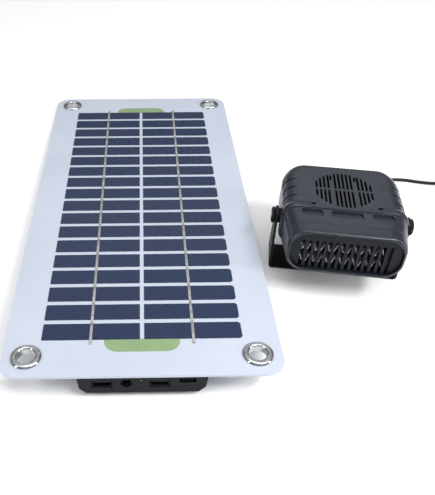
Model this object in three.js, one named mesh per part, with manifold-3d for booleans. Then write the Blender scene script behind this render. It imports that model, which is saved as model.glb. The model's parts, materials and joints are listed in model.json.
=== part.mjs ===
// Solar fan kit: a semi-flexible 36-cell panel with a power box under one end, and a
// 12 V blower head that tilts in a U bracket, with its lead wound up beside it.
// Millimetres, +Z up. The origin is the middle of the kit's footprint, on the floor.
import * as THREE from 'three';
import { mergeVertices } from 'three/addons/utils/BufferGeometryUtils.js';
import Module from 'manifold-3d';

const wasm = await Module();
wasm.setup();

// ---------- driving dimensions ----------
const GAP = 0.3; // clearance between pieces that touch on the real object

// panel
const PANEL_X = -61.7; // panel centre line
const PANEL_Y = -0.057; // centres the footprint on the origin
const PANEL_LENGTH = 430;
const PANEL_WIDTH = 200;
const PANEL_CORNER = 14;
const BOARD_THICKNESS = 2.1;
const PRINT_THICKNESS = 0.12;
const CELL_THICKNESS = 0.16;
const LAYER_GAP = 0.06;
const CELL_ROWS = 18;
const CELL_PITCH = 20.17;
const CELL_LENGTH = 16.2; // along the panel
const CELL_WIDTH = 71.6;
const CELL_CLIP = 1.8; // clipped outer corners
const COLUMN_GAP = 3.2;
const ARRAY_START = 33.5; // near edge of the panel to the first cell
const RIBBON_WIDTH = 2;
const RIBBON_TAB = 4.5;
const LABEL_WIDTH = 55;
const LABEL_REACH = 11.5; // how far a label shows past the cells
const LABEL_CORNER = 10;
const EYELET_INSET = 18;
const EYELET_BORE = 6.5;
const EYELET_RADIUS = 11;
const EYELET_HOLE = 8; // radius of the hole in the board
const EYELET_BELOW = 1.6; // how far the eyelet's neck shows under the board
const EYELET_RIM = 2.1; // height of the rolled rim over the board
const BACK_WASHER = 1.3; // lower face of the washer under the board
const LABEL_UNDER = 6; // how far a label runs beneath the cells

// power box under the near end
const BOX_SETBACK = 3;
const BOX_DEPTH = 66;
const BOX_WIDTH = 92;
const BOX_HEIGHT = 19.5;
const BOX_DRAFT = 1.3; // each side leans in this far above the chamfer
const BOX_CHAMFER = 5;
const BOX_WALL = 1.8;
const LID_THICKNESS = 1.4;
const FOOT_RADIUS = 2.2;
const FOOT_HEIGHT = 1;
const FOOT_X = 37.5;
const FOOT_INSET = 4.5; // from the front and back of the box
const USB_A_X = [-28.4, 12.3];
const USB_A_OPENING = [14.6, 6.8];
const USB_C_OPENING = [11.6, 4.2];
const JACK_OPENING = 4; // radius
const JACK_RAISE = 0.7; // jack centre above the USB centres
const LAMP_OPENING = 1.5; // radius
const PORT_DEPTH_BELOW = 10.1; // USB and jack centres below the board
const HIGH_PORT_BELOW = 7.2; // USB-C and lamp centres below the board
const JACK_X = -11.2;
const LAMP_X = -0.9;
const USB_C_X = 31.8;
const BOX_SCREW_X = 30;
const BOX_SCREW_INSET = 9; // from the back of the box
const BOX_POST = 3.2; // radius of the screw posts
const LEAD_SETBACK = 40; // front of the box to the hole for the panel's lead
const CIRCUIT_WIDTH = 78;
const CIRCUIT_DEPTH = 42;
const CIRCUIT_THICKNESS = 1.6;
const USB_A_CAN = [13.1, 5.7];
const CAN_WALL = 0.3;
const PORT_LENGTH = 14;

// fan
const FAN_X = 104.27;
const FAN_Y = -76;
const FAN_YAW = THREE.MathUtils.degToRad(9.5);
const PIVOT_HEIGHT = 47;
const BRACKET_WIDTH = 108;
const BRACKET_DEPTH = 29;
const PLATE = 2;
const LEG_TOP_RADIUS = 8;
const LEG_WAIST = 8; // height at which the legs begin to narrow
const OUTER_BEND = 3;
const INNER_BEND = 1;
const BASE_HOLE_X = 30;
const BASE_HOLE = 2.3; // radius
const HEAD_TILT = THREE.MathUtils.degToRad(3); // the outlet points a little up
const HEAD_FRONT = -46;
const HEAD_REAR = 54;
const HEAD_HALF_WIDTH = 49.5;
const HEAD_HALF_HEIGHT = 20;
const HEAD_WALL = 2;
const CAP_SEAM = -13;
const SHELL_SPLIT = -7;
const REAR_ROUND = 20; // length over which the rear corners close
const REAR_CLOSE = 13;
const NOSE_LENGTH = 4; // length over which the front edge rounds
const NOSE_CLOSE = 1.6;
const CAP_TAPER = 4.5; // each side of the cap leans in this far between the seam and the front
const EDGE_ROUND = 5; // length over which the rear edge rounds
const EDGE_CLOSE = 3;
const FRONT_CORNER = 15; // corner radius at the front
const BACK_CORNER = 12; // corner radius from the pivots back
const INTAKE_Y = 16;
const INTAKE_RADIUS = 24.3;
const SLOT_PITCH = 3.15;
const SLOT_WIDTH = 1.7;
const SLOT_GROUP_PITCH = 16.2;
const SLOT_BAR = 1.1; // half the bar across the middle
const WINDOWS = [[-27.5, 16], [0, 24], [27.5, 16]]; // place and width of the cap's windows
const WINDOW_LENGTH = 9;
const WINDOW_DEPTH = 0.7;
const WINDOW_SETBACK = 2; // from the seam
const OUTLET_SLOTS = 14;
const OUTLET_PITCH = 5.1;
const OUTLET_SLOT = 2.8;
const OUTLET_LOW = -17;
const OUTLET_HIGH = 10;
const GRILLE_SETBACK = 2.6;
const GRILLE_THICKNESS = 2;
const SCREW_X = 26.4;
const SCREW_Y = -7;
const SCREW_SHANK = 0.95; // radius of every small screw
const SCREW_PILOT = 1.25;
const SCREW_WELL = 1.9;
const TOP_TUBE = 3.3; // radius of the tubes that guide the shell screws
const LOWER_POST = 3;
const SCREW_SEAT = 6; // height of the seat under the screw heads
const KNOB_RADIUS = 6.75;
const KNOB_THICKNESS = 2.8;
const PIN_RADIUS = 2;
const PIN_CLEARANCE = 0.4;
const PIN_REACH = 12; // into the head
const FLUTES = 18;
const FLUTE_DEPTH = 0.5;
const WASHER_RADIUS = 6.3;
const NUT_RADIUS = 4;
const NUT_FROM_SIDE = [11.5, 8.8]; // from the side of the head
const BOSS_RADIUS = 4.6;
const BOSS_FROM_SIDE = [8.4, 0.8];
const IMPELLER_RADIUS = 20;
const BLADES = 16;
const BLADE = [5.6, 0.9, 16];
const HUB_LOW = -5.6;
const HUB_HIGH = 4;
const RIM_LOW = 10.6;
const RIM_HIGH = 12;
const RIM_WIDTH = 2.2;
const SHAFT_RADIUS = 1.1;
const MOTOR_RADIUS = 12.4;
const SCROLL_LOW = -13.4;
const SCROLL_HIGH = 15;
const SCROLL_WALL = 1.4;
const SCROLL_MOUTH = 38; // half the width of the outlet
const SCROLL_START = 23; // radius at the tongue
const SCROLL_GROWTH = 11;
const SCROLL_STEPS = 24;
const FIN_HEIGHT = 9;
const FIN_FOLDS = 34;
const FIN_THICKNESS = 0.45;
const FIN_LEFT = -36;
const FIN_RIGHT = 29.5;
const FIN_FRONT = HEAD_FRONT + 5.5;
const FIN_BACK = HEAD_FRONT + 14;
const STRIP_Z = -4.2; // height of the ceramic strip
const STRIP_THICKNESS = 1.6;
const HEATER_FRAME = [84, 31, 9];
const SWITCH_X = -23;
const SWITCH_Z = 1.2;
const SWITCH_BEZEL = [22, 1.6, 15];
const SWITCH_BODY = [19, 9, 12];
const SWITCH_WELL = [16.4, 8, 9.4];
const ROCKER_HALF = 7.8;
const GLAND_X = 28;
const GLAND_Z = 1;
const GLAND_REACH = 14;
const GLAND_FLANGE = 4.4;
const GLAND_NECK = 2.8;

// lead
const CORD_RADIUS = 1.5;
const COIL_X = 262;
const COIL_Y = 16.5;
const COIL_BASE = 1;
const COIL_MEAN = 16.5; // mean radius of the turns
const COIL_HALF = 4.6; // half the width of the bundle of turns
const COIL_HEIGHT = 12.2;
const COIL_EDGE = 1.5; // chamfer of the bundle
const TIE_LOOSE = 0.5; // play between the strap and the bundle
const TIE_THICKNESS = 0.6;
const TIE_HALF_WIDTH = 2;
const TIE_TURN = Math.PI * 0.62;
const PLUG_LENGTH = 27;
const BARREL_LENGTH = 36.8;
const BARREL_RADIUS = 2.75;
const BARREL_BORE = 1.1;

// ---------- materials ----------
const paint = (color, roughness, metalness = 0) =>
  new THREE.MeshStandardMaterial({ color, roughness, metalness });
const LAMINATE = paint(0xd2d9e8, 0.45);
const SILICON = paint(0x2c3350, 0.25);
const LABEL = paint(0x9cbe8c, 0.5);
const CHROME = paint(0xc8ccd2, 0.18, 1);
const BLACK_PLASTIC = paint(0x1c1e24, 0.5);
const SLATE_PLASTIC = paint(0x464a58, 0.5);
const BLACK_STEEL = paint(0x15161a, 0.45, 0.2);
const STEEL = paint(0x9a9da2, 0.35, 1);
const ALUMINIUM = paint(0xb9bbbe, 0.4, 1);
const BOARD_GREEN = paint(0x1f5a38, 0.5);
const RUBBER = paint(0x131316, 0.8);
const COPPER = paint(0xb0643a, 0.4, 1);
const LENS = paint(0xe9eef2, 0.2);

// ---------- solids ----------
// A closed geometry with shared corners, no flat faces and its faces pointing out.
function closed(geometry) {
  const bare = geometry.clone();
  for (const name of Object.keys(bare.attributes)) {
    if (name !== 'position') bare.deleteAttribute(name);
  }
  const merged = mergeVertices(bare, 1e-4);
  const p = merged.attributes.position;
  const index = merged.index.array;
  const kept = [];
  let volume = 0;
  const [a, b, c] = [new THREE.Vector3(), new THREE.Vector3(), new THREE.Vector3()];
  for (let i = 0; i < index.length; i += 3) {
    const [u, v, w] = [index[i], index[i + 1], index[i + 2]];
    if (u === v || v === w || w === u) continue;
    a.fromBufferAttribute(p, u);
    b.fromBufferAttribute(p, v);
    c.fromBufferAttribute(p, w);
    volume += a.dot(b.cross(c));
    kept.push(u, v, w);
  }
  if (volume < 0) kept.reverse();
  merged.setIndex(kept);
  return merged;
}

function toSolid(geometry) {
  const g = closed(geometry);
  return new wasm.Manifold(new wasm.Mesh({
    numProp: 3,
    vertProperties: new Float32Array(g.attributes.position.array),
    triVerts: new Uint32Array(g.index.array),
  }));
}

function toGeometry(solid) {
  const mesh = solid.getMesh();
  const g = new THREE.BufferGeometry();
  g.setAttribute('position', new THREE.BufferAttribute(new Float32Array(mesh.vertProperties), 3));
  g.setIndex(Array.from(mesh.triVerts));
  return g;
}

const join = (first, ...others) =>
  toGeometry(others.reduce((sum, g) => sum.add(toSolid(g)), toSolid(first)));
const cut = (first, ...others) =>
  toGeometry(others.reduce((left, g) => left.subtract(toSolid(g)), toSolid(first)));
const common = (first, second) => toGeometry(toSolid(first).intersect(toSolid(second)));

const box = (w, d, h, x = 0, y = 0, z = 0) => new THREE.BoxGeometry(w, d, h).translate(x, y, z);

// A shape in the XY plane pulled up from z = low to z = high.
const pull = (shape, low, high, curveSegments = 3) =>
  new THREE.ExtrudeGeometry(shape, { depth: high - low, bevelEnabled: false, curveSegments })
    .translate(0, 0, low);

// A shape drawn in X and Z, pulled along Y from front to back.
const pullBack = (shape, front, back, curveSegments = 3) =>
  pull(shape, -back, -front, curveSegments).rotateX(Math.PI / 2);

// A profile of [radius, height] pairs turned about Z; it closes on the axis or on itself.
function turn(profile, segments = 24) {
  const points = profile.map(([r, z]) => new THREE.Vector2(r, z));
  return new THREE.LatheGeometry(points, segments).rotateX(Math.PI / 2);
}
const rod = (radius, low, high, segments = 20) =>
  turn([[0, low], [radius, low], [radius, high], [0, high]], segments);
const ring = (inner, outer, low, high, segments = 24) =>
  turn([[inner, low], [outer, low], [outer, high], [inner, high], [inner, low]], segments);

function roundedRect(width, height, radius, x = 0, y = 0, Kind = THREE.Shape) {
  const [w, h] = [width / 2, height / 2];
  const s = new Kind();
  s.moveTo(x - w + radius, y - h);
  s.lineTo(x + w - radius, y - h);
  s.absarc(x + w - radius, y - h + radius, radius, -Math.PI / 2, 0);
  s.lineTo(x + w, y + h - radius);
  s.absarc(x + w - radius, y + h - radius, radius, 0, Math.PI / 2);
  s.lineTo(x - w + radius, y + h);
  s.absarc(x - w + radius, y + h - radius, radius, Math.PI / 2, Math.PI);
  s.lineTo(x - w, y - h + radius);
  s.absarc(x - w + radius, y - h + radius, radius, Math.PI, 1.5 * Math.PI);
  return s;
}

const polygon = (points) => new THREE.Shape(points.map(([x, y]) => new THREE.Vector2(x, y)));

// A closed skin through rings of equal length along Y, each ring a list of [x, y, z].
function loft(rings) {
  const n = rings[0].length;
  const corners = rings.flat(2);
  const faces = [];
  for (let i = 0; i + 1 < rings.length; i += 1) {
    for (let j = 0; j < n; j += 1) {
      const [a, b] = [i * n + j, i * n + ((j + 1) % n)];
      faces.push(a, b, a + n, b, b + n, a + n);
    }
  }
  const last = (rings.length - 1) * n;
  for (let j = 1; j + 1 < n; j += 1) {
    faces.push(0, j + 1, j);
    faces.push(last, last + j, last + j + 1);
  }
  const g = new THREE.BufferGeometry();
  g.setAttribute('position', new THREE.Float32BufferAttribute(corners, 3));
  g.setIndex(faces);
  return g;
}

// ---------- scene ----------
const kit = new THREE.Group();
const panel = new THREE.Group();
const fan = new THREE.Group();
const head = new THREE.Group();
kit.add(panel, fan);
fan.add(head);
fan.position.set(FAN_X, FAN_Y, 0);
fan.rotation.z = -FAN_YAW;
head.position.z = PIVOT_HEIGHT;
head.rotation.x = -HEAD_TILT;

// The far eyelets lie on the floor and the rear feet of the box hold up the near end.
const REAR_FOOT_Y = -PANEL_LENGTH / 2 + BOX_SETBACK + BOX_DEPTH - FOOT_INSET;
const FRONT_FOOT_Y = -PANEL_LENGTH / 2 + BOX_SETBACK + FOOT_INSET;
const FOOT_BOTTOM = BOX_HEIGHT + GAP + FOOT_HEIGHT;
const FAR_CONTACT_Y = PANEL_LENGTH / 2 - EYELET_INSET + EYELET_HOLE - GAP;
const NEAR_CONTACT_Y = REAR_FOOT_Y + FOOT_RADIUS;
const PANEL_TILT = Math.atan((FOOT_BOTTOM - EYELET_BELOW) / (FAR_CONTACT_Y - NEAR_CONTACT_Y));
panel.rotation.x = -PANEL_TILT;
panel.position.set(PANEL_X, PANEL_Y,
  FAR_CONTACT_Y * Math.sin(PANEL_TILT) + EYELET_BELOW * Math.cos(PANEL_TILT));

function add(group, name, geometry, material, x = 0, y = 0, z = 0) {
  const mesh = new THREE.Mesh(closed(geometry), material);
  mesh.name = name;
  mesh.position.set(x, y, z);
  group.add(mesh);
  return mesh;
}

// ---------- panel ----------
function addPanel() {
  const outline = roundedRect(PANEL_WIDTH, PANEL_LENGTH, PANEL_CORNER);
  const places = [];
  for (const sx of [-1, 1]) {
    for (const sy of [-1, 1]) {
      const x = sx * (PANEL_WIDTH / 2 - EYELET_INSET);
      const y = sy * (PANEL_LENGTH / 2 - EYELET_INSET);
      places.push([x, y, `${sy < 0 ? 'near' : 'far'}_${sx < 0 ? 'left' : 'right'}`]);
      outline.holes.push(new THREE.Path().absarc(x, y, EYELET_HOLE, 0, 2 * Math.PI, true));
    }
  }
  add(panel, 'panel_board', pull(outline, 0, BOARD_THICKNESS, 8), LAMINATE);

  // Nickel-plated eyelet: a rolled rim on top and a neck that the back washer is pressed over.
  const neck = EYELET_HOLE - GAP;
  const seat = BOARD_THICKNESS + GAP;
  const crown = BOARD_THICKNESS + EYELET_RIM;
  const rim = [
    [EYELET_BORE, -EYELET_BELOW], [neck, -EYELET_BELOW], [neck, seat],
    [EYELET_RADIUS, seat], [EYELET_RADIUS - 0.4, crown - 0.8],
    [EYELET_RADIUS - 1.6, crown], [EYELET_BORE + 1.2, crown],
    [EYELET_BORE + 0.2, crown - 0.9], [EYELET_BORE, -EYELET_BELOW],
  ];
  for (const [x, y, corner] of places) {
    add(panel, `eyelet_${corner}`, turn(rim, 16), CHROME, x, y, 0);
    const washer = ring(neck + GAP, EYELET_RADIUS, -BACK_WASHER, -GAP, 16);
    add(panel, `eyelet_washer_${corner}`, washer, CHROME, x, y, 0);
  }
}

// ---------- cells ----------
// One string is 18 cells in a column, joined down the middle by the solder ribbon.
function cellString(side) {
  const half = CELL_WIDTH / 2;
  const neck = RIBBON_WIDTH / 2;
  const edge = (low, high, clipped) => (clipped
    ? [[half - CELL_CLIP, low], [half, low + CELL_CLIP], [half, high - CELL_CLIP], [half - CELL_CLIP, high]]
    : [[half, low], [half, high]]);
  const mirrored = (points) => points.map(([x, y]) => [-x, y]).reverse();
  const right = [];
  const left = [];
  for (let row = 0; row < CELL_ROWS; row += 1) {
    const low = ARRAY_START - PANEL_LENGTH / 2 + row * CELL_PITCH;
    const high = low + CELL_LENGTH;
    right.push([neck, low], ...edge(low, high, side > 0), [neck, high]);
    left.unshift(...mirrored([[neck, low], ...edge(low, high, side < 0), [neck, high]]));
  }
  const [bottom, top] = [right[0][1] - RIBBON_TAB, left[0][1] + RIBBON_TAB];
  return polygon([
    [-neck, bottom], [neck, bottom], ...right, [neck, top], [-neck, top], ...left,
  ]);
}

function addCells() {
  const printTop = BOARD_THICKNESS + LAYER_GAP + PRINT_THICKNESS;
  const cellLow = printTop + LAYER_GAP;
  for (const side of [-1, 1]) {
    const g = pull(cellString(side), cellLow, cellLow + CELL_THICKNESS);
    const x = side * (CELL_WIDTH + COLUMN_GAP) / 2;
    add(panel, side < 0 ? 'cell_string_left' : 'cell_string_right', g, SILICON, x, 0, 0);
  }
  const first = ARRAY_START - PANEL_LENGTH / 2;
  const lastCell = first + (CELL_ROWS - 1) * CELL_PITCH + CELL_LENGTH;
  const height = LABEL_REACH + LABEL_UNDER;
  const label = (y) => pull(
    roundedRect(LABEL_WIDTH, height, Math.min(LABEL_CORNER, height / 2 - 0.5), 0, y),
    BOARD_THICKNESS + LAYER_GAP, printTop,
  );
  add(panel, 'label_near', label(first + LABEL_UNDER - height / 2), LABEL);
  add(panel, 'label_far', label(lastCell - LABEL_UNDER + height / 2), LABEL);
}

// ---------- power box ----------
const BOX_FRONT = -PANEL_LENGTH / 2 + BOX_SETBACK;
const BOX_BACK = BOX_FRONT + BOX_DEPTH;
const HOUSING_TOP = -(2 * GAP + LID_THICKNESS);
const BOARD_TOP = -PORT_DEPTH_BELOW - 3.15;
const BOX_SCREW_Y = BOX_BACK - BOX_SCREW_INSET;
const LEAD_Y = BOX_FRONT + LEAD_SETBACK;
const JACK_BELOW = PORT_DEPTH_BELOW - JACK_RAISE;

// The box's section across the panel, grown or shrunk by inset.
function boxSection(inset, top, bottom) {
  const w = BOX_WIDTH / 2 - inset;
  const shoulder = -BOX_HEIGHT + BOX_CHAMFER + inset * 0.4;
  return polygon([
    [-w, top], [-w + BOX_DRAFT, shoulder], [-w + BOX_DRAFT + BOX_CHAMFER, bottom],
    [w - BOX_DRAFT - BOX_CHAMFER, bottom], [w - BOX_DRAFT, shoulder], [w, top],
  ]);
}

function addBox() {
  const body = pullBack(boxSection(0, HOUSING_TOP, -BOX_HEIGHT), BOX_FRONT, BOX_BACK);
  const inside = pullBack(
    boxSection(BOX_WALL, 1, -BOX_HEIGHT + BOX_WALL), BOX_FRONT + BOX_WALL, BOX_BACK - BOX_WALL,
  );
  const through = 3; // half the depth of a cutter for the front wall
  const slot = ([w, h], x, below) => box(w, 2 * through, h, x, BOX_FRONT, -below);
  const round = (radius, x, below, segments) =>
    rod(radius, -through, through, segments).rotateX(Math.PI / 2).translate(x, BOX_FRONT, -below);
  const openings = USB_A_X.map((x) => slot(USB_A_OPENING, x, PORT_DEPTH_BELOW));
  openings.push(slot(USB_C_OPENING, USB_C_X, HIGH_PORT_BELOW));
  openings.push(round(JACK_OPENING, JACK_X, JACK_BELOW, 20));
  openings.push(round(LAMP_OPENING, LAMP_X, HIGH_PORT_BELOW, 12));
  let housing = cut(body, inside, ...openings);
  const meet = -12.1 - GAP; // where the housing's posts meet the lid's
  const headSeat = -17.3;
  for (const sx of [-1, 1]) {
    const post = rod(BOX_POST, -BOX_HEIGHT + 1, meet, 16).translate(sx * BOX_SCREW_X, BOX_SCREW_Y, 0);
    const bore = turn([
      [0, -BOX_HEIGHT - 1], [2.7, -BOX_HEIGHT - 1], [2.7, headSeat], [1.4, headSeat], [1.4, -12], [0, -12],
    ], 16).translate(sx * BOX_SCREW_X, BOX_SCREW_Y, 0);
    housing = cut(join(housing, post), bore);
  }
  add(panel, 'box_housing', housing, BLACK_PLASTIC);

  let lid = box(BOX_WIDTH, BOX_DEPTH, LID_THICKNESS, 0, (BOX_FRONT + BOX_BACK) / 2,
    -GAP - LID_THICKNESS / 2);
  lid = cut(lid, rod(4, -5, 1, 16).translate(0, LEAD_Y, 0));
  for (const sx of [-1, 1]) {
    const post = ring(SCREW_PILOT, BOX_POST, meet + GAP, -1, 16)
      .translate(sx * BOX_SCREW_X, BOX_SCREW_Y, 0);
    lid = join(lid, post);
    const screw = turn([
      [0, headSeat - 1.7], [2.3, headSeat - 1.7], [2.3, headSeat - GAP], [SCREW_SHANK, headSeat - GAP],
      [SCREW_SHANK, -4], [0, -3.6],
    ], 16);
    const name = sx < 0 ? 'box_screw_left' : 'box_screw_right';
    add(panel, name, screw, STEEL, sx * BOX_SCREW_X, BOX_SCREW_Y, 0);
  }
  add(panel, 'box_lid', lid, BLACK_PLASTIC);

  for (const sx of [-1, 1]) {
    for (const [where, y] of [['near', FRONT_FOOT_Y], ['far', REAR_FOOT_Y]]) {
      const foot = rod(FOOT_RADIUS, -FOOT_BOTTOM, -FOOT_BOTTOM + FOOT_HEIGHT, 12);
      add(panel, `box_foot_${where}_${sx < 0 ? 'left' : 'right'}`, foot, RUBBER, sx * FOOT_X, y, 0);
    }
  }
}

// ---------- electronics in the box ----------
function addElectronics() {
  const front = BOX_FRONT + BOX_WALL + GAP;
  const board = box(CIRCUIT_WIDTH, CIRCUIT_DEPTH, CIRCUIT_THICKNESS, 0, front + CIRCUIT_DEPTH / 2,
    BOARD_TOP - CIRCUIT_THICKNESS / 2);
  add(panel, 'circuit_board', board, BOARD_GREEN);
  const face = BOX_FRONT + 0.6;
  const [canWidth, canHeight] = USB_A_CAN;
  const [innerWidth, innerHeight] = [canWidth - 2 * CAN_WALL, canHeight - 2 * CAN_WALL];
  USB_A_X.forEach((x, i) => {
    const can = cut(box(canWidth, PORT_LENGTH, canHeight, 0, PORT_LENGTH / 2, 0),
      box(innerWidth, 22, innerHeight, 0, 0, 0));
    const back = box(innerWidth + 0.2, 2, innerHeight + 0.2, 0, PORT_LENGTH - 1, 0);
    const tongue = join(back, box(11, 12, 1.8, 0, 7.5, 0.9));
    const name = i === 0 ? 'usb_port_left' : 'usb_port_right';
    add(panel, name, join(can, tongue), STEEL, x, face, -PORT_DEPTH_BELOW);
  });

  // Round 5.5 mm power jack with its centre pin.
  const barrel = rod(3.1, -11, 1, 16).rotateX(Math.PI / 2);
  const lower = BOARD_TOP + GAP + JACK_BELOW;
  const upper = 4.4;
  const block = box(9, PORT_LENGTH, upper - lower, 0, PORT_LENGTH / 2, (upper + lower) / 2);
  const pin = rod(1, -12, -0.6, 12).rotateX(Math.PI / 2);
  const jack = join(cut(block, barrel), pin);
  add(panel, 'power_jack', jack, BLACK_PLASTIC, JACK_X, front, -JACK_BELOW);

  const [slotWidth, slotHeight, slotLength] = [9, 3.3, 9];
  const slotShell = pullBack(roundedRect(slotWidth, slotHeight, 1.6), 0, slotLength);
  const slotHole = pullBack(
    roundedRect(slotWidth - 2 * CAN_WALL, slotHeight - 2 * CAN_WALL, 1.6 - CAN_WALL), -1, 7,
  );
  const slotTongue = box(6.6, 8, 0.7, 0, 4.5, 0);
  const riserLow = BOARD_TOP + GAP + HIGH_PORT_BELOW;
  const riser = box(8, 6, -1.3 - riserLow, 0, 5.5, (-1.3 + riserLow) / 2);
  const slotPort = join(cut(slotShell, slotHole), slotTongue, riser);
  add(panel, 'usb_c_port', slotPort, STEEL, USB_C_X, front, -HIGH_PORT_BELOW);

  const lens = turn([[0, -6], [1.2, -6], [1.2, 0.6], [0.8, 1.1], [0, 1.3]], 12).rotateX(Math.PI / 2);
  const stem = box(1.6, 1.6, -riserLow - 0.6, 0, 5, (riserLow - 0.6) / 2);
  add(panel, 'charge_lamp', join(lens, stem), LENS, LAMP_X, BOX_FRONT + 1.6, -HIGH_PORT_BELOW);

  const coil = turn([[0, 0], [4.5, 0], [4.5, 1], [3.3, 1.6], [3.3, 4.4], [4.5, 5], [4.5, 6], [0, 6]], 20);
  add(panel, 'inductor', coil, COPPER, -24, BOX_FRONT + 33, BOARD_TOP + GAP);
  const can = turn([[0, 0], [4, 0], [4, 0.8], [3.7, 1.2], [4, 1.6], [4, 9], [3.4, 9.4], [0, 9.4]], 20);
  add(panel, 'capacitor', can, BLACK_PLASTIC, 24, BOX_FRONT + 33, BOARD_TOP + GAP);

  // Flat twin lead up through the lid to the panel's junction.
  const path = new THREE.CatmullRomCurve3([
    new THREE.Vector3(0, BOX_FRONT + 30, BOARD_TOP + 2.2),
    new THREE.Vector3(0, BOX_FRONT + 33, BOARD_TOP + 5),
    new THREE.Vector3(0, BOX_FRONT + 38, -4),
    new THREE.Vector3(0, LEAD_Y, -1.4),
  ]);
  const lead = new THREE.ExtrudeGeometry(roundedRect(1.6, 3.2, 0.7),
    { extrudePath: path, steps: 8, curveSegments: 1, bevelEnabled: false });
  add(panel, 'panel_lead', lead, RUBBER);
}

// ---------- fan bracket ----------
const LEG_OUTER = BRACKET_WIDTH / 2;
const LEG_INNER = LEG_OUTER - PLATE;

function addBracket() {
  const tall = PIVOT_HEIGHT + LEG_TOP_RADIUS;
  const u = new THREE.Shape();
  u.moveTo(-LEG_OUTER, tall);
  u.lineTo(-LEG_OUTER, OUTER_BEND);
  u.absarc(-LEG_OUTER + OUTER_BEND, OUTER_BEND, OUTER_BEND, Math.PI, 1.5 * Math.PI);
  u.lineTo(LEG_OUTER - OUTER_BEND, 0);
  u.absarc(LEG_OUTER - OUTER_BEND, OUTER_BEND, OUTER_BEND, -Math.PI / 2, 0);
  u.lineTo(LEG_OUTER, tall);
  u.lineTo(LEG_INNER, tall);
  u.lineTo(LEG_INNER, PLATE + INNER_BEND);
  u.absarc(LEG_INNER - INNER_BEND, PLATE + INNER_BEND, INNER_BEND, 0, -Math.PI / 2, true);
  u.lineTo(-LEG_INNER + INNER_BEND, PLATE);
  u.absarc(-LEG_INNER + INNER_BEND, PLATE + INNER_BEND, INNER_BEND, -Math.PI / 2, -Math.PI, true);
  u.lineTo(-LEG_INNER, tall);
  const strip = pullBack(u, -BRACKET_DEPTH / 2, BRACKET_DEPTH / 2, 2);

  // Side view: the legs narrow to a round end about the pivot.
  const side = new THREE.Shape();
  const lean = 0.2;
  side.moveTo(-BRACKET_DEPTH / 2, -1);
  side.lineTo(BRACKET_DEPTH / 2, -1);
  side.lineTo(BRACKET_DEPTH / 2, LEG_WAIST);
  side.absarc(0, PIVOT_HEIGHT, LEG_TOP_RADIUS, lean, Math.PI - lean);
  side.lineTo(-BRACKET_DEPTH / 2, LEG_WAIST);
  const block = pull(side, -LEG_OUTER - 1, LEG_OUTER + 1, 5)
    .applyMatrix4(new THREE.Matrix4().makeBasis(
      new THREE.Vector3(0, 1, 0), new THREE.Vector3(0, 0, 1), new THREE.Vector3(1, 0, 0),
    ));
  const pinHole = rod(PIN_RADIUS + PIN_CLEARANCE, -LEG_OUTER - 2, LEG_OUTER + 2)
    .rotateY(Math.PI / 2).translate(0, 0, PIVOT_HEIGHT);
  const screwHoles = [-BASE_HOLE_X, BASE_HOLE_X].map(
    (x) => rod(BASE_HOLE, -1, PLATE + 1, 16).translate(x, 0, 0),
  );
  add(fan, 'bracket', cut(common(strip, block), pinHole, ...screwHoles), BLACK_STEEL);
}

// ---------- pivots ----------
function addPivots() {
  const rimPoints = [];
  const rimSteps = FLUTES * 4;
  for (let i = 0; i < rimSteps; i += 1) {
    const angle = (i / rimSteps) * 2 * Math.PI;
    const r = KNOB_RADIUS - (i % 4 < 2 ? 0 : FLUTE_DEPTH);
    rimPoints.push([r * Math.cos(angle), r * Math.sin(angle)]);
  }
  for (const side of [-1, 1]) {
    const label = side < 0 ? 'left' : 'right';
    const outwards = (g) => g.rotateY(side * Math.PI / 2);
    const inner = LEG_OUTER + GAP;
    const disc = pull(polygon(rimPoints), inner, inner + KNOB_THICKNESS);
    const pin = rod(PIN_RADIUS, HEAD_HALF_WIDTH - PIN_REACH, inner + 0.5, 16);
    add(head, `knob_${label}`, outwards(join(disc, pin)), BLACK_PLASTIC);
    const washer = ring(PIN_RADIUS + PIN_CLEARANCE, WASHER_RADIUS, HEAD_HALF_WIDTH + GAP,
      LEG_INNER - GAP, 24);
    add(head, `pivot_washer_${label}`, outwards(washer), RUBBER);
    const hexagon = Array.from({ length: 6 }, (_, i) => {
      const angle = (i * Math.PI) / 3;
      return [NUT_RADIUS * Math.cos(angle), NUT_RADIUS * Math.sin(angle)];
    });
    const [nutIn, nutOut] = NUT_FROM_SIDE.map((from) => HEAD_HALF_WIDTH - from);
    const nut = cut(pull(polygon(hexagon), nutIn, nutOut),
      rod(PIN_RADIUS + GAP, 0, HEAD_HALF_WIDTH, 16));
    add(head, `pivot_nut_${label}`, outwards(nut), STEEL);
  }
}

// ---------- head casing ----------
// Half width, half height and corner radius of the casing at depth y.
function headSection(y) {
  const rear = THREE.MathUtils.clamp((y - HEAD_REAR + REAR_ROUND) / REAR_ROUND, 0, 1);
  const edge = THREE.MathUtils.clamp((y - HEAD_REAR + EDGE_ROUND) / EDGE_ROUND, 0, 1);
  const nose = THREE.MathUtils.clamp((HEAD_FRONT + NOSE_LENGTH - y) / NOSE_LENGTH, 0, 1);
  const taper = CAP_TAPER * Math.max(0, (CAP_SEAM - y) / (CAP_SEAM - HEAD_FRONT));
  const round = (t, depth) => depth * (1 - Math.sqrt(1 - t * t));
  return {
    halfWidth: HEAD_HALF_WIDTH - taper - round(rear, REAR_CLOSE) - round(nose, NOSE_CLOSE),
    halfHeight: HEAD_HALF_HEIGHT - round(edge, EDGE_CLOSE) - round(nose, NOSE_CLOSE),
    corner: THREE.MathUtils.lerp(FRONT_CORNER, BACK_CORNER, THREE.MathUtils.smoothstep(y, HEAD_FRONT, 0)),
  };
}

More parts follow.
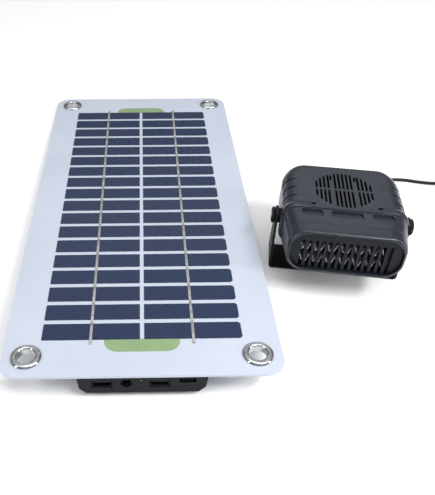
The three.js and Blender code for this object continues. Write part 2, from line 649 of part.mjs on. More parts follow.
function headRing(y, inset, perCorner) {
  const { halfWidth, halfHeight, corner } = headSection(y);
  const [w, h, r] = [halfWidth - inset, halfHeight - inset, corner - inset];
  const points = [];
  [[1, -1], [1, 1], [-1, 1], [-1, -1]].forEach(([sx, sz], quarter) => {
    for (let i = 0; i <= perCorner; i += 1) {
      const angle = (quarter - 1 + i / perCorner) * Math.PI / 2;
      points.push([sx * (w - r) + r * Math.cos(angle), y, sz * (h - r) + r * Math.sin(angle)]);
    }
  });
  return points;
}

const CASING_STATIONS = [CAP_SEAM, 12, 34, 40, 45, 49, 51.5, 53.2, HEAD_REAR];
const CAP_STATIONS = [HEAD_FRONT, HEAD_FRONT + 0.8, HEAD_FRONT + 2, HEAD_FRONT + NOSE_LENGTH,
  -28, CAP_SEAM - GAP];
const ROUND_STEPS = 6;

function casing() {
  const outer = loft(CASING_STATIONS.map((y) => headRing(y, 0, ROUND_STEPS)));
  const innerEnd = HEAD_REAR - HEAD_WALL;
  const innerStations = [CAP_SEAM, 12, 34, 40, 45, 49, innerEnd];
  const inner = loft(innerStations.map((y, i) => {
    const points = headRing(y, HEAD_WALL, ROUND_STEPS);
    return i === 0 ? points.map(([x, , z]) => [x, y - 1, z]) : points;
  }));
  return cut(outer, inner);
}

// Two rows of slots in three groups, cut to a circle and parted by two arched ribs.
function intakeSlots() {
  const cutters = [];
  for (const group of [-1, 0, 1]) {
    for (const row of [-1, 1]) {
      const count = group === 0 ? 5 : 4;
      for (let i = 0; i < count; i += 1) {
        const x = group * SLOT_GROUP_PITCH + (i - (count - 1) / 2) * SLOT_PITCH;
        const reach = Math.sqrt(INTAKE_RADIUS ** 2 - (Math.abs(x) + SLOT_WIDTH / 2) ** 2);
        const length = reach - SLOT_BAR;
        if (length < 2) continue;
        const y = INTAKE_Y + row * (SLOT_BAR + length / 2);
        cutters.push(box(SLOT_WIDTH, length, 8, x, y, HEAD_HALF_HEIGHT));
      }
    }
  }
  return cutters;
}

function addCasing() {
  const whole = casing();
  const far = 200;
  const above = box(far, far, far, 0, 0, SHELL_SPLIT + GAP / 2 + far / 2);
  const below = box(far, far, far, 0, 0, SHELL_SPLIT - GAP / 2 - far / 2);
  let top = common(whole, above);
  let bottom = common(whole, below);

  const inner = HEAD_HALF_HEIGHT - HEAD_WALL + 0.5;
  for (const sx of [-1, 1]) {
    const [bossIn, bossOut] = BOSS_FROM_SIDE.map((from) => HEAD_HALF_WIDTH - from);
    const boss = ring(PIN_RADIUS + GAP, BOSS_RADIUS, bossIn, bossOut, 20).rotateY(sx * Math.PI / 2);
    const pinHole = rod(PIN_RADIUS + GAP, 30, 60, 20).rotateY(sx * Math.PI / 2);
    const tube = rod(TOP_TUBE, 4, inner, 16).translate(sx * SCREW_X, SCREW_Y, 0);
    const well = turn([
      [0, 3], [SCREW_PILOT, 3], [SCREW_PILOT, SCREW_SEAT], [SCREW_WELL, SCREW_SEAT],
      [SCREW_WELL, 25], [0, 25],
    ], 16).translate(sx * SCREW_X, SCREW_Y, 0);
    top = cut(join(top, boss, tube), pinHole, well);
    const post = rod(LOWER_POST, -inner, 4 - GAP, 16).translate(sx * SCREW_X, SCREW_Y, 0);
    const pilot = rod(SCREW_PILOT, -10, 5, 16).translate(sx * SCREW_X, SCREW_Y, 0);
    bottom = cut(join(bottom, post), pilot);
    const under = SCREW_SEAT + GAP;
    const screw = turn([
      [0, -9], [SCREW_SHANK, -8.5], [SCREW_SHANK, under], [1.6, under], [1.6, under + 1.5],
      [0, under + 1.5],
    ], 12);
    const name = sx < 0 ? 'shell_screw_left' : 'shell_screw_right';
    add(head, name, screw, STEEL, sx * SCREW_X, SCREW_Y, 0);
  }
  const switchHole = box(SWITCH_BODY[0] + 2 * GAP, 10, SWITCH_BODY[2] + 2 * GAP, SWITCH_X, HEAD_REAR,
    SWITCH_Z);
  const glandHole = rod(GLAND_NECK + GAP, -6, 6, 16).rotateX(Math.PI / 2)
    .translate(GLAND_X, HEAD_REAR, GLAND_Z);
  top = cut(top, switchHole, glandHole, ...intakeSlots());
  add(head, 'top_shell', top, SLATE_PLASTIC);
  add(head, 'bottom_shell', bottom, SLATE_PLASTIC);
}

// ---------- front cap and outlet ----------
function addFront() {
  const outer = loft(CAP_STATIONS.map((y) => headRing(y, 0, ROUND_STEPS)));
  const bore = loft([HEAD_FRONT - 1, -28, CAP_SEAM + 1].map((y) => headRing(
    Math.max(y, HEAD_FRONT + NOSE_LENGTH), HEAD_WALL + GAP, ROUND_STEPS).map(([x, , z]) => [x, y, z])));
  // Three shallow windows just ahead of the seam, narrower towards the front.
  const windows = WINDOWS.map(([x, width]) => {
    const w = width / 2;
    const outline = polygon([[-w - 1, -WINDOW_LENGTH], [w + 1, -WINDOW_LENGTH], [w, 0], [-w, 0]]);
    return pull(outline, HEAD_HALF_HEIGHT - WINDOW_DEPTH, HEAD_HALF_HEIGHT + 3)
      .translate(x, CAP_SEAM - WINDOW_SETBACK, 0);
  });
  add(head, 'front_cap', cut(outer, bore, ...windows), SLATE_PLASTIC);

  const plateFront = HEAD_FRONT + GRILLE_SETBACK;
  const edge = HEAD_WALL + 2 * GAP;
  const plate = loft([plateFront, plateFront + GRILLE_THICKNESS].map((y) =>
    headRing(HEAD_FRONT + NOSE_LENGTH, edge, ROUND_STEPS).map(([x, , z]) => [x, y, z])));
  const slots = Array.from({ length: OUTLET_SLOTS }, (_, i) => {
    const x = (i - (OUTLET_SLOTS - 1) / 2) * OUTLET_PITCH;
    const tall = OUTLET_HIGH - OUTLET_LOW;
    return box(OUTLET_SLOT, 8, tall, x, plateFront, (OUTLET_HIGH + OUTLET_LOW) / 2);
  });
  add(head, 'outlet_grille', cut(plate, ...slots), SLATE_PLASTIC);
}

// ---------- heater behind the outlet ----------
function addHeater() {
  const middleX = (FIN_LEFT + FIN_RIGHT) / 2;
  const opening = roundedRect(FIN_RIGHT - FIN_LEFT + 2, 2 * FIN_HEIGHT + STRIP_THICKNESS + 2.4, 1,
    middleX, STRIP_Z, THREE.Path);
  const frame = roundedRect(...HEATER_FRAME, 0, -0.5);
  frame.holes.push(opening);
  add(head, 'heater_frame', pullBack(frame, FIN_FRONT - 0.4, FIN_BACK + 0.4), BLACK_PLASTIC);
  add(head, 'ceramic_strip', box(FIN_RIGHT - FIN_LEFT, FIN_BACK - FIN_FRONT, STRIP_THICKNESS,
    middleX, (FIN_FRONT + FIN_BACK) / 2, STRIP_Z), STEEL);

  // One folded aluminium strip: a zigzag of even folds with its own thickness.
  const step = (FIN_RIGHT - FIN_LEFT) / FIN_FOLDS;
  const [low, high] = [-FIN_HEIGHT / 2, FIN_HEIGHT / 2 - FIN_THICKNESS];
  const zigzag = (lift) => Array.from({ length: FIN_FOLDS + 1 }, (_, i) => [
    FIN_LEFT + i * step, (i % 2 ? high : low) + lift,
  ]);
  const fin = polygon([...zigzag(0), ...zigzag(FIN_THICKNESS).reverse()]);
  for (const side of [-1, 1]) {
    const z = STRIP_Z + side * (STRIP_THICKNESS / 2 + GAP + FIN_HEIGHT / 2);
    const name = side < 0 ? 'heater_fins_lower' : 'heater_fins_upper';
    add(head, name, pullBack(fin, FIN_FRONT, FIN_BACK), ALUMINIUM, 0, 0, z);
  }
}

// ---------- blower ----------
function addBlower() {
  // Spiral wall: it opens from the tongue on the left, round the rear, to the right.
  const spiral = (extra) => Array.from({ length: SCROLL_STEPS + 1 }, (_, i) => {
    const angle = Math.PI * (1 - i / SCROLL_STEPS);
    const r = SCROLL_START + (SCROLL_GROWTH * i) / SCROLL_STEPS + extra;
    return [r * Math.cos(angle), INTAKE_Y + r * Math.sin(angle)];
  });
  const mouth = CAP_SEAM - 14;
  const band = polygon([
    [-SCROLL_MOUTH - SCROLL_WALL, mouth], ...spiral(SCROLL_WALL), [SCROLL_MOUTH + SCROLL_WALL, mouth],
    [SCROLL_MOUTH, mouth], ...spiral(0).reverse(), [-SCROLL_MOUTH, mouth],
  ].reverse());
  const floor = polygon([[-30, 2], ...spiral(SCROLL_WALL / 2), [36, 2]].reverse());
  floor.holes.push(new THREE.Path().absarc(0, INTAKE_Y, 13, 0, 2 * Math.PI, true));
  const scroll = join(pull(band, SCROLL_LOW, SCROLL_HIGH),
    pull(floor, SCROLL_LOW, SCROLL_LOW + SCROLL_WALL, 12));
  add(head, 'blower_scroll', scroll, BLACK_PLASTIC);

  const motor = turn([
    [0, -17.4], [MOTOR_RADIUS - 0.8, -17.4], [MOTOR_RADIUS, -16.6], [MOTOR_RADIUS, -8.2],
    [MOTOR_RADIUS - 0.8, -7.4], [4, -7.4], [4, -6.7], [0, -6.7],
  ], 24);
  add(head, 'motor', motor, STEEL, 0, INTAKE_Y, 0);
  add(head, 'motor_shaft', rod(SHAFT_RADIUS, -6.3, 5.5, 12), STEEL, 0, INTAKE_Y, 0);

  const bore = SHAFT_RADIUS + GAP;
  const hub = turn([
    [bore, HUB_LOW], [IMPELLER_RADIUS, HUB_LOW], [IMPELLER_RADIUS, HUB_LOW + 1], [6, HUB_LOW + 1],
    [4.2, HUB_HIGH], [bore, HUB_HIGH], [bore, HUB_LOW],
  ], 24);
  const rim = ring(IMPELLER_RADIUS - RIM_WIDTH, IMPELLER_RADIUS, RIM_LOW, RIM_HIGH, 24);
  const blades = Array.from({ length: BLADES }, (_, i) =>
    box(...BLADE, IMPELLER_RADIUS - 3.1, 0, 3).rotateZ((i / BLADES) * 2 * Math.PI));
  add(head, 'impeller', join(hub, rim, ...blades), BLACK_PLASTIC, 0, INTAKE_Y, 0);
}

// ---------- rocker switch and cord gland ----------
function addRear() {
  const bezel = box(...SWITCH_BEZEL, 0, HEAD_REAR + GAP + SWITCH_BEZEL[1] / 2, 0);
  const body = box(...SWITCH_BODY, 0, HEAD_REAR - 3.5, 0);
  const well = box(...SWITCH_WELL, 0, HEAD_REAR + 1.2, 0);
  add(head, 'switch_body', cut(join(bezel, body), well), BLACK_PLASTIC, SWITCH_X, 0, SWITCH_Z);
  // Rocker: a shallow V so that one half stands proud at a time.
  const profile = polygon([[-2.2, -4], [0.6, -4.2], [1.5, -1], [1.2, 0], [1.5, 1], [0.6, 4.2], [-2.2, 4]]);
  const rocker = pull(profile, -ROCKER_HALF, ROCKER_HALF).applyMatrix4(new THREE.Matrix4().makeBasis(
    new THREE.Vector3(0, 1, 0), new THREE.Vector3(0, 0, 1), new THREE.Vector3(1, 0, 0),
  ));
  add(head, 'switch_rocker', rocker, BLACK_PLASTIC, SWITCH_X, HEAD_REAR + 1, SWITCH_Z);

  const gland = turn([
    [0, -3.4], [GLAND_FLANGE, -3.4], [GLAND_FLANGE, -2.4], [GLAND_NECK, -2.4], [GLAND_NECK, GAP],
    [GLAND_FLANGE, GAP], [GLAND_FLANGE, 2], [3, 2.6], [2, GLAND_REACH], [0, GLAND_REACH],
  ], 20).rotateX(-Math.PI / 2);
  add(head, 'cord_gland', gland, RUBBER, GLAND_X, HEAD_REAR, GLAND_Z);
}

// ---------- lead, coil and plug ----------
// The lead leaves the gland, drops behind the head to the floor and runs to the coil.
const LEAD_ROUTE = [
  [143.2, -13.4, 44.4], [144.0, -8.6, 43.9], [145.0, -3.2, 41.5], [146.8, 3.0, 35.9],
  [149.6, 9.8, 26.9], [153.4, 17.0, 17.3], [158.8, 24.7, 8.9], [165.8, 32.4, 3.7],
  [174.5, 38.8, 1.9], [184.5, 42.6, 1.55], [196.5, 44.0, 1.55], [209.0, 42.9, 1.55],
  [221.0, 39.6, 1.55], [233.0, 37.0, 1.7], [243.0, 36.2, 2.1], [250.8, 36.1, 2.5],
];
const TAIL_ROUTE = [
  [281.6, 5.3, 11.0], [281.6, -1.5, 9.2], [281.6, -8.5, 6.4], [281.6, -15.7, 5.2],
];
const PLUG_X = 281.6;
const PLUG_Y = -16;
const PLUG_Z = 5.1;

const toCurve = (route) =>
  new THREE.CatmullRomCurve3(route.map(([x, y, z]) => new THREE.Vector3(x, y, z)), false, 'centripetal');

function addCord() {
  const section = new THREE.Shape().absarc(0, 0, CORD_RADIUS, 0, 2 * Math.PI);
  const tube = (route, steps) => new THREE.ExtrudeGeometry(section,
    { extrudePath: toCurve(route), steps, curveSegments: 4, bevelEnabled: false });
  add(kit, 'cord_lead', tube(LEAD_ROUTE, 36), RUBBER);
  add(kit, 'cord_tail', tube(TAIL_ROUTE, 6), RUBBER);
  const [low, high] = [COIL_BASE, COIL_BASE + COIL_HEIGHT];
  const [inner, outer] = [COIL_MEAN - COIL_HALF, COIL_MEAN + COIL_HALF];
  const coil = turn([
    [inner, low + COIL_EDGE], [inner + COIL_EDGE, low], [outer - COIL_EDGE, low],
    [outer, low + COIL_EDGE], [outer, high - COIL_EDGE], [outer - COIL_EDGE, high],
    [inner + COIL_EDGE, high], [inner, high - COIL_EDGE], [inner, low + COIL_EDGE],
  ], 32);
  add(kit, 'cord_coil', coil, RUBBER, COIL_X, COIL_Y, 0);

  // A strap round the bundle of turns, on the side away from the fan.
  const middle = low + COIL_HEIGHT / 2;
  const loop = (play, radius, Kind) => roundedRect(2 * COIL_HALF + 2 * play,
    COIL_HEIGHT + 2 * play - 0.4, radius, COIL_MEAN, middle, Kind);
  const strap = loop(TIE_LOOSE + TIE_THICKNESS, 1.6);
  strap.holes.push(loop(TIE_LOOSE, 1.2, THREE.Path));
  const tie = pullBack(strap, -TIE_HALF_WIDTH, TIE_HALF_WIDTH, 2).rotateZ(TIE_TURN);
  add(kit, 'cord_tie', tie, RUBBER, COIL_X, COIL_Y, 0);

  const plug = turn([
    [0, 0], [2.1, 0], [2.6, 8], [4.6, 10], [4.8, 12], [4.8, PLUG_LENGTH - 1], [4.2, PLUG_LENGTH],
    [0, PLUG_LENGTH],
  ], 20).rotateX(Math.PI / 2);
  add(kit, 'plug_body', plug, RUBBER, PLUG_X, PLUG_Y, PLUG_Z);
  const barrel = turn([
    [0, PLUG_LENGTH + GAP], [BARREL_RADIUS, PLUG_LENGTH + GAP], [BARREL_RADIUS, BARREL_LENGTH - 0.3],
    [BARREL_RADIUS - 0.45, BARREL_LENGTH], [BARREL_BORE, BARREL_LENGTH],
    [BARREL_BORE, PLUG_LENGTH + 2], [0, PLUG_LENGTH + 2],
  ], 20).rotateX(Math.PI / 2);
  add(kit, 'plug_barrel', barrel, STEEL, PLUG_X, PLUG_Y, PLUG_Z);
}

addPanel();
addCells();
addBox();
addElectronics();
addBracket();
addPivots();
addCasing();
addFront();
addHeater();
addBlower();
addRear();
addCord();

export default kit;
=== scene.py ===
"""Solar fan kit: a 36-cell panel with a power box, and a blower head that tilts in a U bracket.

Shapes are drawn in millimetres in three local frames (PANEL, FAN and HEAD), which are read from
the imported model, and are placed in the scene in metres.
"""
import json
from math import cos, pi, radians, sin, sqrt
import random

import bmesh
import bpy
from mathutils import Matrix, Vector
from mathutils.geometry import tessellate_polygon


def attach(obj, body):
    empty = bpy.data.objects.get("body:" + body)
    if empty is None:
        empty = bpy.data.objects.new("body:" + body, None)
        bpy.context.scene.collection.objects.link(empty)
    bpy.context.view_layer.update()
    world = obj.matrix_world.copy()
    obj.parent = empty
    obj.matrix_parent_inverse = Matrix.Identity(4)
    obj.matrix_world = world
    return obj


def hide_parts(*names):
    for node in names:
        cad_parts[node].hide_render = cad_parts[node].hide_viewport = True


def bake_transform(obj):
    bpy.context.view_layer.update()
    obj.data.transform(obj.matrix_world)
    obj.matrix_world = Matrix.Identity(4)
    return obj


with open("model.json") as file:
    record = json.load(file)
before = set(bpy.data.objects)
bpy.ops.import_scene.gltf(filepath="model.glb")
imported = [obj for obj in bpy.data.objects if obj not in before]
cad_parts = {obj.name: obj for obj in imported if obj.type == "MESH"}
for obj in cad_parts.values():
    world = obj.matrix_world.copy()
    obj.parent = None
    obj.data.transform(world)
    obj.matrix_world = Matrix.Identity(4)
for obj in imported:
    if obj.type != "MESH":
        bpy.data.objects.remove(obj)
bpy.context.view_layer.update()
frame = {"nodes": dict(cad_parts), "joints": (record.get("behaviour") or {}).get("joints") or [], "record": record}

# --- local frames ---
MM = 0.001
EYELET_MOUNT = Vector((-74.9, 197, -1.6))  # a point of the far left eyelet, from the panel's middle
joints = {joint["name"]: joint for joint in frame["joints"]}
mounts = {mount["name"]: mount for mount in frame["record"]["mounts"]}


def local_frame(across, up, origin):
    """A frame whose X is across and whose Z is up, in millimetres."""
    x, z = Vector(across).normalized(), Vector(up).normalized()
    axes = Matrix((x, z.cross(x), z)).transposed().to_4x4()
    return Matrix.Translation(origin) @ axes @ Matrix.Scale(MM, 4)


tilt_axis = -Vector(joints["head_tilt"]["axis"])
eyelet = mounts["eyelet_far_left"]
PANEL = (local_frame((1, 0, 0), -Vector(eyelet["axis"]), eyelet["pos_m"])
         @ Matrix.Translation(-EYELET_MOUNT))
FAN = local_frame(tilt_axis, (0, 0, 1), mounts["bracket_base"]["pos_m"])
HEAD = local_frame(tilt_axis, joints["impeller_spin"]["axis"], joints["head_tilt"]["pos_m"])
WORLD = Matrix.Scale(MM, 4)
SIDES = ((-1, "left"), (1, "right"))
QUARTERS = ((1, 1), (-1, 1), (-1, -1), (1, -1))  # signs of X and Y, anticlockwise


def placed(name, data):
    """A new object in the scene."""
    obj = bpy.data.objects.new(name, data)
    bpy.context.scene.collection.objects.link(obj)
    return obj


# --- camera ---
CAMERA_PLACE = (-0.0588, -0.4690, 0.3737)
CAMERA_PITCH = 47.98  # degrees up from straight down
CAMERA_YAW = -1.0
CAMERA_LENS = 44.84
CAMERA_SHIFT = 0.1302
CLIP_START = 0.01

camera = placed("camera", bpy.data.cameras.new("camera"))
bpy.context.scene.camera = camera
camera.location = CAMERA_PLACE
camera.rotation_euler = (radians(CAMERA_PITCH), 0, radians(CAMERA_YAW))
camera.data.lens = CAMERA_LENS
camera.data.shift_x = CAMERA_SHIFT
camera.data.clip_start = CLIP_START


# --- material nodes ---
class Nodes:
    """Short calls that add to a node tree."""

    def __init__(self, owner):
        owner.use_nodes = True
        self.tree = owner.node_tree

    def feed(self, socket, value):
        """Sets an input, or links it when value is the output of another node."""
        if isinstance(value, bpy.types.NodeSocket):
            self.tree.links.new(value, socket)
        else:
            socket.default_value = value

    def node(self, kind, inputs=None, **settings):
        made = self.tree.nodes.new(kind)
        for name, value in settings.items():
            setattr(made, name, value)
        for name, value in (inputs or {}).items():
            self.feed(made.inputs[name], value)
        return made

    def spread(self, value, low, high, start=0.3, end=0.7):
        """value between start and end becomes low to high."""
        return self.node("ShaderNodeMapRange", {
            "Value": value, "From Min": start, "From Max": end, "To Min": low, "To Max": high,
        }).outputs[0]

    def math(self, operation, first, second=0.0):
        made = self.node("ShaderNodeMath", operation=operation)
        for i, value in enumerate((first, second)):
            self.feed(made.inputs[i], value)
        return made.outputs[0]

    def blend(self, factor, first, second):
        """Colour first where factor is 0, second where it is 1."""
        made = self.node("ShaderNodeMix", data_type="RGBA")
        for i, value in ((0, factor), (6, first), (7, second)):
            self.feed(made.inputs[i], (*value, 1) if isinstance(value, tuple) else value)
        return made.outputs[2]


class Paint(Nodes):
    """A Principled material that varies over the surface."""

    def __init__(self, name, color, roughness, metallic=0.0, **sockets):
        self.material = bpy.data.materials.new(name)
        super().__init__(self.material)
        self.shader = self.tree.nodes["Principled BSDF"]
        self.shader.inputs["Base Color"].default_value = (*color, 1)
        self.shader.inputs["Roughness"].default_value = roughness
        self.shader.inputs["Metallic"].default_value = metallic
        for socket, value in sockets.items():
            name = socket.replace("_", " ").title().replace("Ior", "IOR")
            self.shader.inputs[name].default_value = value
        self.place = self.tree.nodes.new("ShaderNodeTexCoord").outputs["Object"]
        self.normal = None

    def noise(self, size, detail, stretch=(1, 1, 1)):
        """Noise with features of about size metres."""
        place = self.place
        if stretch != (1, 1, 1):
            place = self.node("ShaderNodeMapping", {"Vector": place, "Scale": stretch}).outputs[0]
        inputs = {"Vector": place, "Scale": 1 / size, "Detail": detail}
        return self.node("ShaderNodeTexNoise", inputs).outputs[0]

    def bump(self, height, depth, strength):
        """Relief of about depth metres."""
        made = self.node("ShaderNodeBump", {"Height": height, "Distance": depth,
                                            "Strength": strength})
        if self.normal is not None:
            self.tree.links.new(self.normal, made.inputs["Normal"])
        self.normal = made.outputs[0]
        self.tree.links.new(self.normal, self.shader.inputs["Normal"])

    def color(self, socket):
        self.tree.links.new(socket, self.shader.inputs["Base Color"])

    def roughness(self, socket):
        self.tree.links.new(socket, self.shader.inputs["Roughness"])

    def cloud(self, size, detail, dark, light):
        """Colour that drifts from dark to light."""
        self.color(self.blend(self.spread(self.noise(size, detail), 0, 1), dark, light))

    def sheen(self, size, detail, low, high):
        """Roughness that drifts from low to high."""
        self.roughness(self.spread(self.noise(size, detail), low, high))


def mottled_paint(name, color, rough, metallic=0.0, cloud=None, sheen=None, bumps=(), **sockets):
    """Drifting colour and roughness; each bump has a size, detail, depth and strength."""
    p = Paint(name, color, rough, metallic, **sockets)
    if cloud:
        p.cloud(*cloud)
    if sheen:
        p.sheen(*sheen)
    for size, detail, depth, strength in bumps:
        p.bump(p.noise(size, detail), depth, strength)
    return p.material


FINGER_PITCH = 0.00185
CRYSTALS_PER_METRE = 260.0
TRACKS_PER_METRE = 400.0
WIRE_PITCH = 0.0005


def silicon_paint():
    """Dark blue cells: fine fingers across each cell, and crystal grain."""
    p = Paint("silicon", (0.025, 0.040, 0.09), 0.3, specular_ior_level=0.18)
    along = p.node("ShaderNodeSeparateXYZ", {"Vector": p.place}).outputs["Y"]
    island = p.node("ShaderNodeNewGeometry").outputs["Random Per Island"]
    body = p.blend(island, (0.013, 0.026, 0.062), (0.022, 0.027, 0.062))
    crystal = p.node("ShaderNodeTexVoronoi", {
        "Vector": p.place, "Scale": CRYSTALS_PER_METRE,
    }).outputs["Distance"]
    body = p.blend(p.spread(crystal, 0.0, 0.35, 0, 0.8), body, (0.017, 0.032, 0.085))
    wave = p.math("SINE", p.math("MULTIPLY", along, 2 * pi / FINGER_PITCH))
    finger = p.spread(wave, 0.0, 0.13, 0.82, 1.0)
    p.color(p.blend(finger, body, (0.30, 0.33, 0.42)))
    p.sheen(0.002, 3, 0.2, 0.32)
    p.bump(p.noise(0.012, 2), 0.0002, 0.3)
    return p.material


def plastic_paint(name, dark, light, rough, grain=0.0006, depth=0.00001, shine=0.25):
    """Moulded plastic: fine grain, with faint cloudiness in colour and gloss."""
    return mottled_paint(name, dark, rough, cloud=(0.012, 4, dark, light),
                         sheen=(0.003, 3, rough - 0.05, rough + 0.07),
                         bumps=[(grain, 2, depth, 0.4)], specular_ior_level=shine)


def metal_paint(name, dark, light, rough, stretch=(1, 1, 1)):
    """Bare metal with drawn or rolled marks along one way."""
    p = Paint(name, light, rough, 1.0)
    marks = p.noise(0.0006, 4, stretch)
    p.color(p.blend(p.spread(marks, 0, 1), dark, light))
    p.sheen(0.002, 3, rough - 0.06, rough + 0.08)
    p.bump(marks, 0.00002, 0.6)
    return p.material


def board_paint():
    """Solder mask with faint tracks under it."""
    p = Paint("circuit_board", (0.02, 0.13, 0.06), 0.35, coat_weight=0.4, coat_roughness=0.15)
    track = p.node("ShaderNodeTexBrick", {
        "Vector": p.place, "Scale": TRACKS_PER_METRE,
    }).outputs["Fac"]
    p.color(p.blend(track, (0.014, 0.11, 0.05), (0.03, 0.2, 0.09)))
    p.sheen(0.002, 3, 0.3, 0.42)
    return p.material


def winding_paint():
    p = Paint("copper_winding", (0.45, 0.16, 0.06), 0.3, 1.0)
    height = p.node("ShaderNodeSeparateXYZ", {"Vector": p.place}).outputs["Z"]
    turns = p.math("SINE", p.math("MULTIPLY", height, 2 * pi / WIRE_PITCH))
    # The colour follows the turns: painted shade in the grooves between the turns and a painted highlight on their
    # crowns.
    p.color(p.blend(p.spread(turns, 0, 1, -1, 1), (0.28, 0.09, 0.035), (0.55, 0.21, 0.085)))
    p.bump(turns, 0.0001, 0.7)
    return p.material


PAINT = {
    "laminate": mottled_paint(
        "laminate", (0.53, 0.57, 0.66), 0.4, specular_ior_level=0.4,
        cloud=(0.06, 3, (0.475, 0.515, 0.605), (0.505, 0.545, 0.635)),
        sheen=(0.004, 4, 0.3, 0.42), bumps=[(0.03, 2, 0.0006, 0.25), (0.0006, 2, 0.00002, 0.5)]),
    "silicon": silicon_paint(),
    "ribbon": mottled_paint(
        "solder_ribbon", (0.42, 0.41, 0.40), 0.38, 0.6,
        cloud=(0.004, 3, (0.30, 0.29, 0.285), (0.52, 0.505, 0.49)),
        sheen=(0.0015, 3, 0.25, 0.5), bumps=[(0.0012, 3, 0.0001, 0.6)]),
    "green_print": mottled_paint(
        "green_print", (0.23, 0.35, 0.17), 0.45, coat_weight=0.2, coat_roughness=0.2,
        cloud=(0.01, 3, (0.205, 0.31, 0.15), (0.24, 0.345, 0.172)),
        bumps=[(0.0008, 2, 0.00002, 0.5)]),
    "chrome": mottled_paint(
        "chrome", (0.52, 0.53, 0.54), 0.12, 1.0,
        cloud=(0.004, 3, (0.44, 0.45, 0.46), (0.60, 0.605, 0.61)),
        sheen=(0.0025, 4, 0.04, 0.13), bumps=[(0.0015, 2, 0.00003, 0.4)]),
    "black_plastic": plastic_paint("black_plastic", (0.003, 0.0035, 0.006), (0.005, 0.006, 0.009),
                                   0.4, shine=0.15),
    # Slate plastic painted darker: painted shade on the recessed outlet grille.
    "slate_painted_shade": plastic_paint("slate_painted_shade", (0.006, 0.0075, 0.012), (0.009, 0.011, 0.016), 0.4,
                                shine=0.18),
    "slate_plastic": plastic_paint("slate_plastic", (0.014, 0.017, 0.027), (0.019, 0.0225, 0.033),
                                   0.24, shine=0.45),
    "black_steel": mottled_paint(  # satin powder coat
        "powder_coat", (0.006, 0.006, 0.008), 0.42, specular_ior_level=0.15,
        cloud=(0.006, 3, (0.004, 0.004, 0.005), (0.008, 0.008, 0.009)),
        sheen=(0.002, 3, 0.36, 0.48), bumps=[(0.0009, 3, 0.00006, 0.6)]),
    # Steel painted nearly black: painted shade inside the USB ports.
    "steel_painted_shade": metal_paint("steel_painted_shade", (0.05, 0.05, 0.055), (0.10, 0.10, 0.105), 0.35),
    "steel": metal_paint("steel", (0.42, 0.43, 0.45), (0.62, 0.63, 0.65), 0.3, (1, 1, 6)),
    "gold": metal_paint("gold_plate", (0.62, 0.42, 0.15), (0.83, 0.6, 0.25), 0.25),
    "aluminium": metal_paint("aluminium", (0.66, 0.67, 0.69), (0.92, 0.93, 0.95), 0.32, (1, 6, 1)),
    "circuit_green": board_paint(),
    "rubber": plastic_paint("rubber", (0.008, 0.008, 0.009), (0.013, 0.013, 0.014), 0.7,
                            0.0008, 0.00003),
    "copper": winding_paint(),
    "clear_lens": mottled_paint("lamp_lens", (0.10, 0.105, 0.11), 0.2, transmission_weight=0.3,
                                sheen=(0.0008, 3, 0.12, 0.26)),
    "cord_jacket": plastic_paint("cord_jacket", (0.005, 0.005, 0.006), (0.009, 0.009, 0.010), 0.4,
                                 0.0009),
}


# --- shapes: (corners, faces) in millimetres ---
def merge(*shapes):
    corners, faces = [], []
    for more, some in shapes:
        base = len(corners)
        corners += list(more)
        faces += [tuple(i + base for i in face) for face in some]
    return corners, faces


def moved(shape, matrix):
    corners, faces = shape
    return [tuple(matrix @ Vector(corner)) for corner in corners], faces


def shifted(shape, x=0, y=0, z=0):
    return moved(shape, Matrix.Translation((x, y, z)))


def turned(shape, degrees, axis):
    return moved(shape, Matrix.Rotation(radians(degrees), 4, axis))


def loft(rings, wrap=False):
    """Rings joined by faces; wrap joins the last ring to the first."""
    n = len(rings[0])
    corners = [tuple(point) for ring in rings for point in ring]
    faces = []
    count = len(rings) if wrap else len(rings) - 1
    for i in range(count):
        a, b = i * n, (i + 1) % len(rings) * n
        faces += [(a + j, a + (j + 1) % n, b + (j + 1) % n, b + j) for j in range(n)]
    if not wrap:
        last = (len(rings) - 1) * n
        faces += [tuple(reversed(range(n))), tuple(range(last, last + n))]
    return corners, faces


def lathe(profile, segments=64):
    """A profile of (radius, height) turned about Z. It starts and ends on the axis, or closes."""
    n, wrap = len(profile), profile[0][0] > 0
    angles = [2 * pi * i / segments for i in range(segments)]
    corners = [(r * cos(a), r * sin(a), z) for a in angles for r, z in profile]
    faces = []
    for i in range(segments):
        a, b = i * n, (i + 1) % segments * n
        faces += [(a + j, b + j, b + j + 1, a + j + 1) for j in range(n - 1)]
        if wrap:
            faces.append((a + n - 1, b + n - 1, b, a))
    return corners, faces


def arc(cx, cy, radius, start, end, steps):
    """Points on an arc, angles in degrees."""
    angles = [radians(start + (end - start) * i / steps) for i in range(steps + 1)]
    return [(cx + radius * cos(a), cy + radius * sin(a)) for a in angles]


def rounded(width, height, radius, x=0, y=0, steps=8):
    w, h = width / 2 - radius, height / 2 - radius
    points = []
    for quarter, (sx, sy) in enumerate(QUARTERS):
        points += arc(x + sx * w, y + sy * h, radius, 90 * quarter, 90 * quarter + 90, steps)
    return points


def plate(outline, low, high, holes=()):
    """A flat outline with holes, standing from low to high."""
    loops = [outline, *holes]
    flat = [point for loop in loops for point in loop]
    n = len(flat)
    if holes:
        lids = tessellate_polygon([[Vector((x, y, 0)) for x, y in loop] for loop in loops])
    else:
        lids = [tuple(range(n))]
    corners = [(x, y, low) for x, y in flat] + [(x, y, high) for x, y in flat]
    faces = [tuple(reversed(lid)) for lid in lids]
    faces += [tuple(i + n for i in lid) for lid in lids]
    start = 0
    for loop in loops:
        m = len(loop)
        for i in range(m):
            a, b = start + i, start + (i + 1) % m
            faces.append((a, b, b + n, a + n))
        start += m
    return corners, faces


def block(w, d, h, x=0, y=0, z=0):
    return shifted(plate([(-w / 2, -d / 2), (w / 2, -d / 2), (w / 2, d / 2), (-w / 2, d / 2)],
                         -h / 2, h / 2), x, y, z)


def upright(shape):
    """A shape drawn in X and Y with its thickness along Z, stood up: Y becomes Z."""
    return moved(shape, Matrix.Rotation(pi / 2, 4, "X"))


